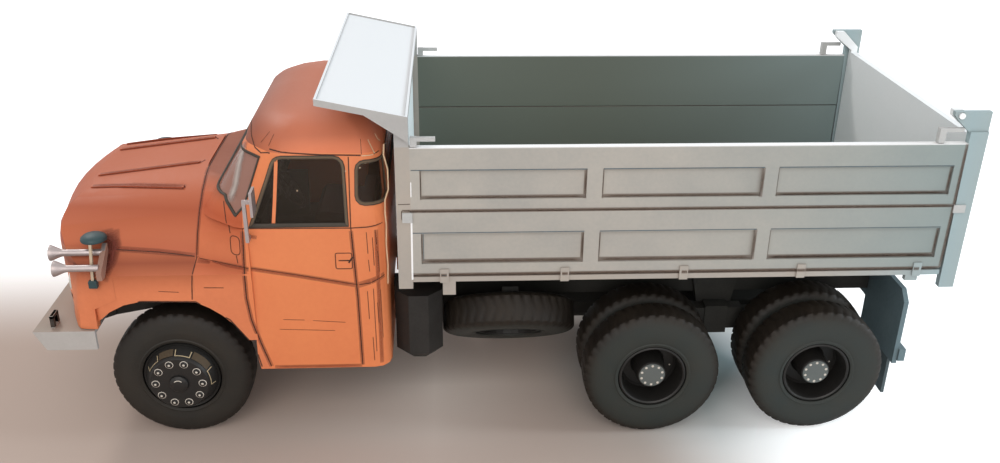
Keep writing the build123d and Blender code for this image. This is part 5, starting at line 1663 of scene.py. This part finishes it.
# Lamps
@dataclass
class Lamps:
    """Lenses of the rear lamp boxes, marker lamps, horns and towing eyes."""

    finishes: Finishes
    lens: float = 2.6
    crown_depth: float = 1.6
    stalk_lean: float = 2.4
    stalk_half: float = 0.3
    eye_card: float = 0.85
    eye_width: float = 3.3

    def build(self) -> None:
        """Build the lenses, marker lamps, horns and towing eyes."""
        low, high = box_mm("rear_plate")
        mesh = Mesh()
        outer = high.y - 0.5
        foot = low.z + 1.4
        mesh.box(Vector((low.x - 0.25, outer - self.lens, foot)) * MM,
                 Vector((low.x + 0.1, outer, foot + self.lens)) * MM)
        mesh.mirror()
        mesh.piece("tail_lamp_lenses", self.finishes.red, "chassis", "lamp_film")
        self.marker_lamps()
        self.horns()
        self.towing_eyes()

    def marker_lamps(self) -> None:
        """Build the marker lamps: a domed cap on a thin leaning stalk and its foot."""
        low, high = box_mm("marker_lamps")
        middle = (low.x + high.x) / 2
        crown = high.z - self.crown_depth
        upright = (Matrix.Translation(Vector((middle, CAB_HALF - 4.2, crown)) * MM)
                   @ Matrix.Rotation(math.pi / 2, 4, "X"))
        caps = Mesh()
        caps.turned([(2.5, 0.1), (2.9, 0.0), (2.95, 0.3), (2.8, 0.75), (2.3, 1.15), (1.4, 1.45), (0.1, 1.58)], 40,
                    upright)
        caps.box(Vector((middle - 0.95, CAB_HALF + 0.15, low.z + 0.02)) * MM,
                 Vector((middle + 0.95, high.y - 0.02, low.z + 2.0)) * MM)
        caps.mirror()
        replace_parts(caps.piece("marker_lamps_form", self.finishes.cap, "chassis", "teal_card"), "marker_lamps")
        stalks = Mesh()
        half = self.stalk_half
        foot = low.z + 1.6
        rings = []
        for share in (0.0, 0.5, 1.0):
            z = foot + (crown + 0.1 - foot) * share
            y = high.y - 0.25 - self.stalk_lean * share
            rings.append([Vector((middle + x, y - depth, z)) * MM for x, depth in
                          ((-half, 2 * half), (half, 2 * half), (half, 0.0), (-half, 0.0))])
        stalks.prism(rings)
        stalks.mirror()
        stalks.piece("marker_lamp_stalks", self.finishes.stalk, "chassis", "silver", smooth=False)

    def horns(self) -> None:
        """Sleeve the horns in fuller trumpets and give their bracket its print."""
        low, high = box_mm("horns")
        trumpets = Mesh()
        for y, z, back, length in ((low.y + 1.95, high.z - 1.87, 0.0, 11.7),
                                   (high.y - 1.87, high.z - 3.87, 1.85, 9.9)):
            where = Matrix.Translation(Vector((high.x - back, y, z)) * MM) @ Matrix.Rotation(math.pi / 2, 4, "Z")
            trumpets.turned([(1.2, 0.35), (1.84, 0.0), (1.86, 0.12), (1.6, 0.8), (1.2, 1.7), (0.9, 2.5), (0.8, 3.0),
                             (0.8, length), (0.7, length + 0.1)], 36, where)
        trumpets.piece("horn_trumpets", self.finishes.silver, "chassis", "silver")
        outline = ((low.y + 0.5, high.z - 1.9), (low.y + 0.5, high.z - 0.15), (high.y - 0.5, low.z + 2.0),
                   (high.y - 0.5, low.z), (high.y - 2.5, low.z))
        bracket = Mesh()
        bracket.prism([[Vector((x, y, z)) * MM for y, z in outline] for x in (low.x + 0.95, low.x - 0.25)])
        bracket.piece("horn_bracket_form", self.finishes.bracket, "chassis", "silver", smooth=False)

    def towing_eyes(self) -> None:
        """Build the dark towing eyes on the bumper."""
        high = box_mm("bumper")[1]
        x = high.x - 3.8
        outer = high.y - 1.75
        inner = outer - self.eye_width
        mesh = Mesh()
        foot = high.z - 3.1
        for y0, y1, z0 in ((inner, inner + self.eye_card, foot), (outer - self.eye_card, outer, foot),
                           (inner, outer, high.z - self.eye_card)):
            mesh.box(Vector((x - 0.86, y0, z0)) * MM, Vector((x + 0.06, y1, high.z)) * MM)
        mesh.mirror()
        mesh.piece("towing_eye_print", self.finishes.trim, "chassis", "black_card")


# Stage
@dataclass(frozen=True)
class AreaLamp:
    """A soft lamp that looks at the truck's middle."""

    target = Vector((0.0, 0.0, 0.04))
    name: str
    spot: Point
    size: float
    power: float
    colour: Colour

    def build(self) -> None:
        """Add the lamp."""
        data = bpy.data.lights.new(self.name, "AREA")
        data.size = self.size
        data.energy = self.power
        data.color = self.colour
        lamp = bpy.data.objects.new(self.name, data)
        bpy.context.scene.collection.objects.link(lamp)
        lamp.location = self.spot
        lamp.rotation_euler = (self.target - Vector(self.spot)).to_track_quat("-Z", "Y").to_euler()


@dataclass
class Stage:
    """Camera, lamps, world and floor."""

    camera_spot: Point = (11.55, 240.2, 152.1)
    yaw: float = 3.287
    pitch: float = 25.247
    roll: float = 0.716
    focal: float = 979.9
    floor_half: float = 3.0
    glow: float = 0.5

    def camera(self) -> None:
        """Set the camera at the photograph's place."""
        yaw, pitch, roll = (math.radians(value) for value in (self.yaw, self.pitch, self.roll))
        forward = Vector((-math.sin(yaw) * math.cos(pitch), -math.cos(yaw) * math.cos(pitch), -math.sin(pitch)))
        right = Vector((-math.cos(yaw), math.sin(yaw), 0.0))
        up = right.cross(forward)
        turned_right = right * math.cos(roll) + up * math.sin(roll)
        turned_up = up * math.cos(roll) - right * math.sin(roll)
        columns = Matrix((turned_right, turned_up, -forward)).transposed().to_4x4()
        data = bpy.data.cameras.new("photograph_camera")
        data.sensor_width = SENSOR_WIDTH
        data.lens = self.focal / IMAGE_WIDTH * SENSOR_WIDTH
        data.clip_start = 0.01
        data.clip_end = 20.0
        camera = bpy.data.objects.new("photograph_camera", data)
        bpy.context.scene.collection.objects.link(camera)
        camera.matrix_world = Matrix.Translation(Vector(self.camera_spot) * MM) @ columns
        bpy.context.scene.camera = camera

    def world(self) -> None:
        """Set an even sky that shows white behind the truck."""
        sky_strength = 0.53
        world = bpy.data.worlds.new("studio")
        world.use_nodes = True
        graph = Graph(world.node_tree)
        background = world.node_tree.nodes["Background"]
        rays = graph.add("ShaderNodeLightPath")
        seen = graph.math("MAXIMUM", rays.outputs["Is Camera Ray"], rays.outputs["Is Glossy Ray"])
        seen = graph.math("MAXIMUM", seen, rays.outputs["Is Transmission Ray"])
        graph.feed(background.inputs["Color"], graph.mix(seen, (0.95, 0.97, 1.0), (1.0, 1.0, 1.0)))
        graph.feed(background.inputs["Strength"], graph.math("ADD", graph.math("MULTIPLY", seen, 1 - sky_strength),
                                                                      sky_strength))
        bpy.context.scene.world = world

    def floor(self) -> None:
        """Lay the pale floor: beige paper in front of the truck that fades to white behind and beside it, with a
        painted pool of light by the cab's rear and a bluish painted shadow under the rear wheels.
        """
        white, beige, painted_light_tone, painted_shadow_tone = (printed(*tone) for tone in
                                    ((252, 252, 252), (194, 174, 162), (252, 240, 230), (186, 204, 206)))
        half = self.floor_half
        mesh = bpy.data.meshes.new("pale_floor")
        mesh.from_pydata([(-half, -half, 0), (half, -half, 0), (half, half, 0), (-half, half, 0)], [], [(0, 1, 2, 3)])
        material, graph, shader = shader_of("pale_paper")
        split = graph.parts(graph.add("ShaderNodeTexCoord").outputs["Object"])

        def ramp(axis: Axis, start: float, end: float) -> Socket:
            """Give a mask that rises from 0 to 1 between two places along an axis.

            Args:
                axis: The axis.
                start: Where the mask is 0, in metres.
                end: Where the mask is 1, in metres.

            Returns:
                The mask's socket.
            """
            share = graph.math("DIVIDE", graph.math("SUBTRACT", split.outputs[axis.value], start), end - start,
                               clamp=True)
            turned = graph.math("SUBTRACT", 3.0, graph.math("MULTIPLY", share, 2.0))
            return graph.math("MULTIPLY", graph.math("MULTIPLY", share, share), turned)

        def spot(x: float, y: float, half_length: float, half_width: float) -> Socket:
            """Give a soft mask round one place on the floor, all in metres.

            Args:
                x: The place along the truck.
                y: The place across the truck.
                half_length: Reach along the truck.
                half_width: Reach across the truck.

            Returns:
                The mask's socket.
            """
            along = graph.group(BAND, Value=split.outputs["X"], Middle=x, Half_Width=half_length)
            across = graph.group(BAND, Value=split.outputs["Y"], Middle=y, Half_Width=half_width)
            return graph.math("MULTIPLY", along.outputs[0], across.outputs[0])

        patch = ramp(Axis.ALONG, -0.082, -0.034)
        for axis, start, end in ((Axis.ACROSS, -0.085, -0.005), (Axis.ALONG, 0.32, 0.16), (Axis.ACROSS, 0.22, 0.08)):
            patch = graph.math("MULTIPLY", patch, ramp(axis, start, end))
        colour = graph.mix(patch, white, beige)
        # A painted pool of light on the floor by the cab's rear.
        colour = graph.mix(spot(0.016, 0.016, 0.05, 0.05), colour, painted_light_tone)
        # A bluish painted shadow on the floor under the rear wheels.
        under = graph.math("MULTIPLY", spot(-0.056, 0.008, 0.05, 0.06), 1.6, clamp=True)
        colour = graph.mix(under, colour, painted_shadow_tone)
        graph.feed(shader.inputs["Base Color"], colour)
        shader.inputs["Roughness"].default_value = 0.9
        glow = graph.math("SUBTRACT", 1.0, patch, clamp=True)
        rays = graph.add("ShaderNodeLightPath")
        shader.inputs["Emission Color"].default_value = (1.0, 1.0, 1.0, 1.0)
        glow = graph.math("MULTIPLY", glow, graph.math("SUBTRACT", 1.0, under, clamp=True))
        strength = graph.math("MULTIPLY", graph.math("MULTIPLY", glow, rays.outputs["Is Camera Ray"]), self.glow)
        graph.feed(shader.inputs["Emission Strength"], strength)
        mesh.materials.append(material)
        floor = bpy.data.objects.new("pale_floor", mesh)
        bpy.context.scene.collection.objects.link(floor)

    def build(self) -> None:
        """Build the stage."""
        bpy.context.scene.view_settings.view_transform = "Standard"
        self.camera()
        self.world()
        self.floor()
        for lamp in (
                AreaLamp("key", spot=(0.42, -0.46, 0.66), size=0.14, power=1.7, colour=(1.0, 0.98, 0.95)),
                AreaLamp("camera_fill", spot=(0.10, 0.72, 0.48), size=0.7, power=3.1, colour=(1.0, 0.95, 0.90)),
                AreaLamp("cool_rear", spot=(-0.60, 0.05, 0.26), size=0.2, power=2.1, colour=(0.80, 0.93, 1.0))):
            lamp.build()


@dataclass
class Truck:
    """The dressed truck."""

    finishes: Finishes

    def node_finishes(self) -> dict[str, bpy.types.Material]:
        """Give the finish of each carried-over CAD node.

        Returns:
            The finish by node name.
        """
        f = self.finishes
        table = {
            f.orange: ("nose", "door_left", "door_right", "cab_back"),
            f.fender: ("fender_left", "fender_right"),
            f.cowl: ("cowl",),
            f.hood: ("hood",),
            f.roof: ("roof",),
            f.board: ("upper_board_left", "upper_board_right", "lower_board_left", "lower_board_right"),
            f.post: ("bed_posts", "hinge_rails"),
            f.silver: ("mirrors", "horns"),
            f.fitting: ("latches",),
            f.canopy: ("canopy",),
            f.wall: ("front_wall",),
            f.floor: ("bed_floor",),
            f.gate: ("tailgate",),
            f.teal: ("rear_plate",),
            f.cap: ("marker_lamps",),
            f.flap: ("mud_flaps",),
            f.bumper: ("bumper",),
            f.black: ("air_pot", "fuel_tank", "grille"),
            f.dark: ("backbone", "frame_rails", "front_axle", "middle_axle", "rear_axle", "bogie_springs",
                     "spare_carrier", "bay_walls", "bed_subframe"),
            f.trim: ("cab_floor", "dashboard", "steering_wheel"),
            f.dish: ("spare_disc",),
            f.seat: ("seats",),
            f.film: ("door_glass", "rear_glass"),
            f.screen: ("windscreen",),
            f.lamp: ("headlamps",),
        }
        return {node: material for material, nodes in table.items() for node in nodes}

    def dress(self) -> None:
        """Give every CAD node its finish and roll the folded card smooth."""
        rolled = ("hood", "fender_left", "fender_right", "nose", "cowl", "door_left", "door_right", "cab_back", "roof",
                  "windscreen", "door_glass", "rear_glass", "horns", "marker_lamps", "steering_wheel")
        for node, material in self.node_finishes().items():
            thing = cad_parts.get(node)
            if thing is None:
                log.warning("no node %s", node)
                continue
            thing.data.materials.clear()
            thing.data.materials.append(material)
            if node in rolled:
                sharpen(thing)
            log.info("%s dressed in %s", node, material.name)


def write_sizes() -> None:
    """Bring the scene's placements up to date."""
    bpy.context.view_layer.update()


def main() -> None:
    """Build the dressed truck and its stage."""
    logging.basicConfig(level=logging.INFO, format="%(name)s: %(message)s")
    finishes = Finishes()
    Truck(finishes).dress()
    steps: tuple[Callable[[], None], ...] = (Wheels(finishes).build, CabPrint(finishes).build, BedPrint(finishes).build,
                                             Lamps(finishes).build, Stage().build, write_sizes)
    for step in steps:
        step()


if __name__ == "__main__":
    main()
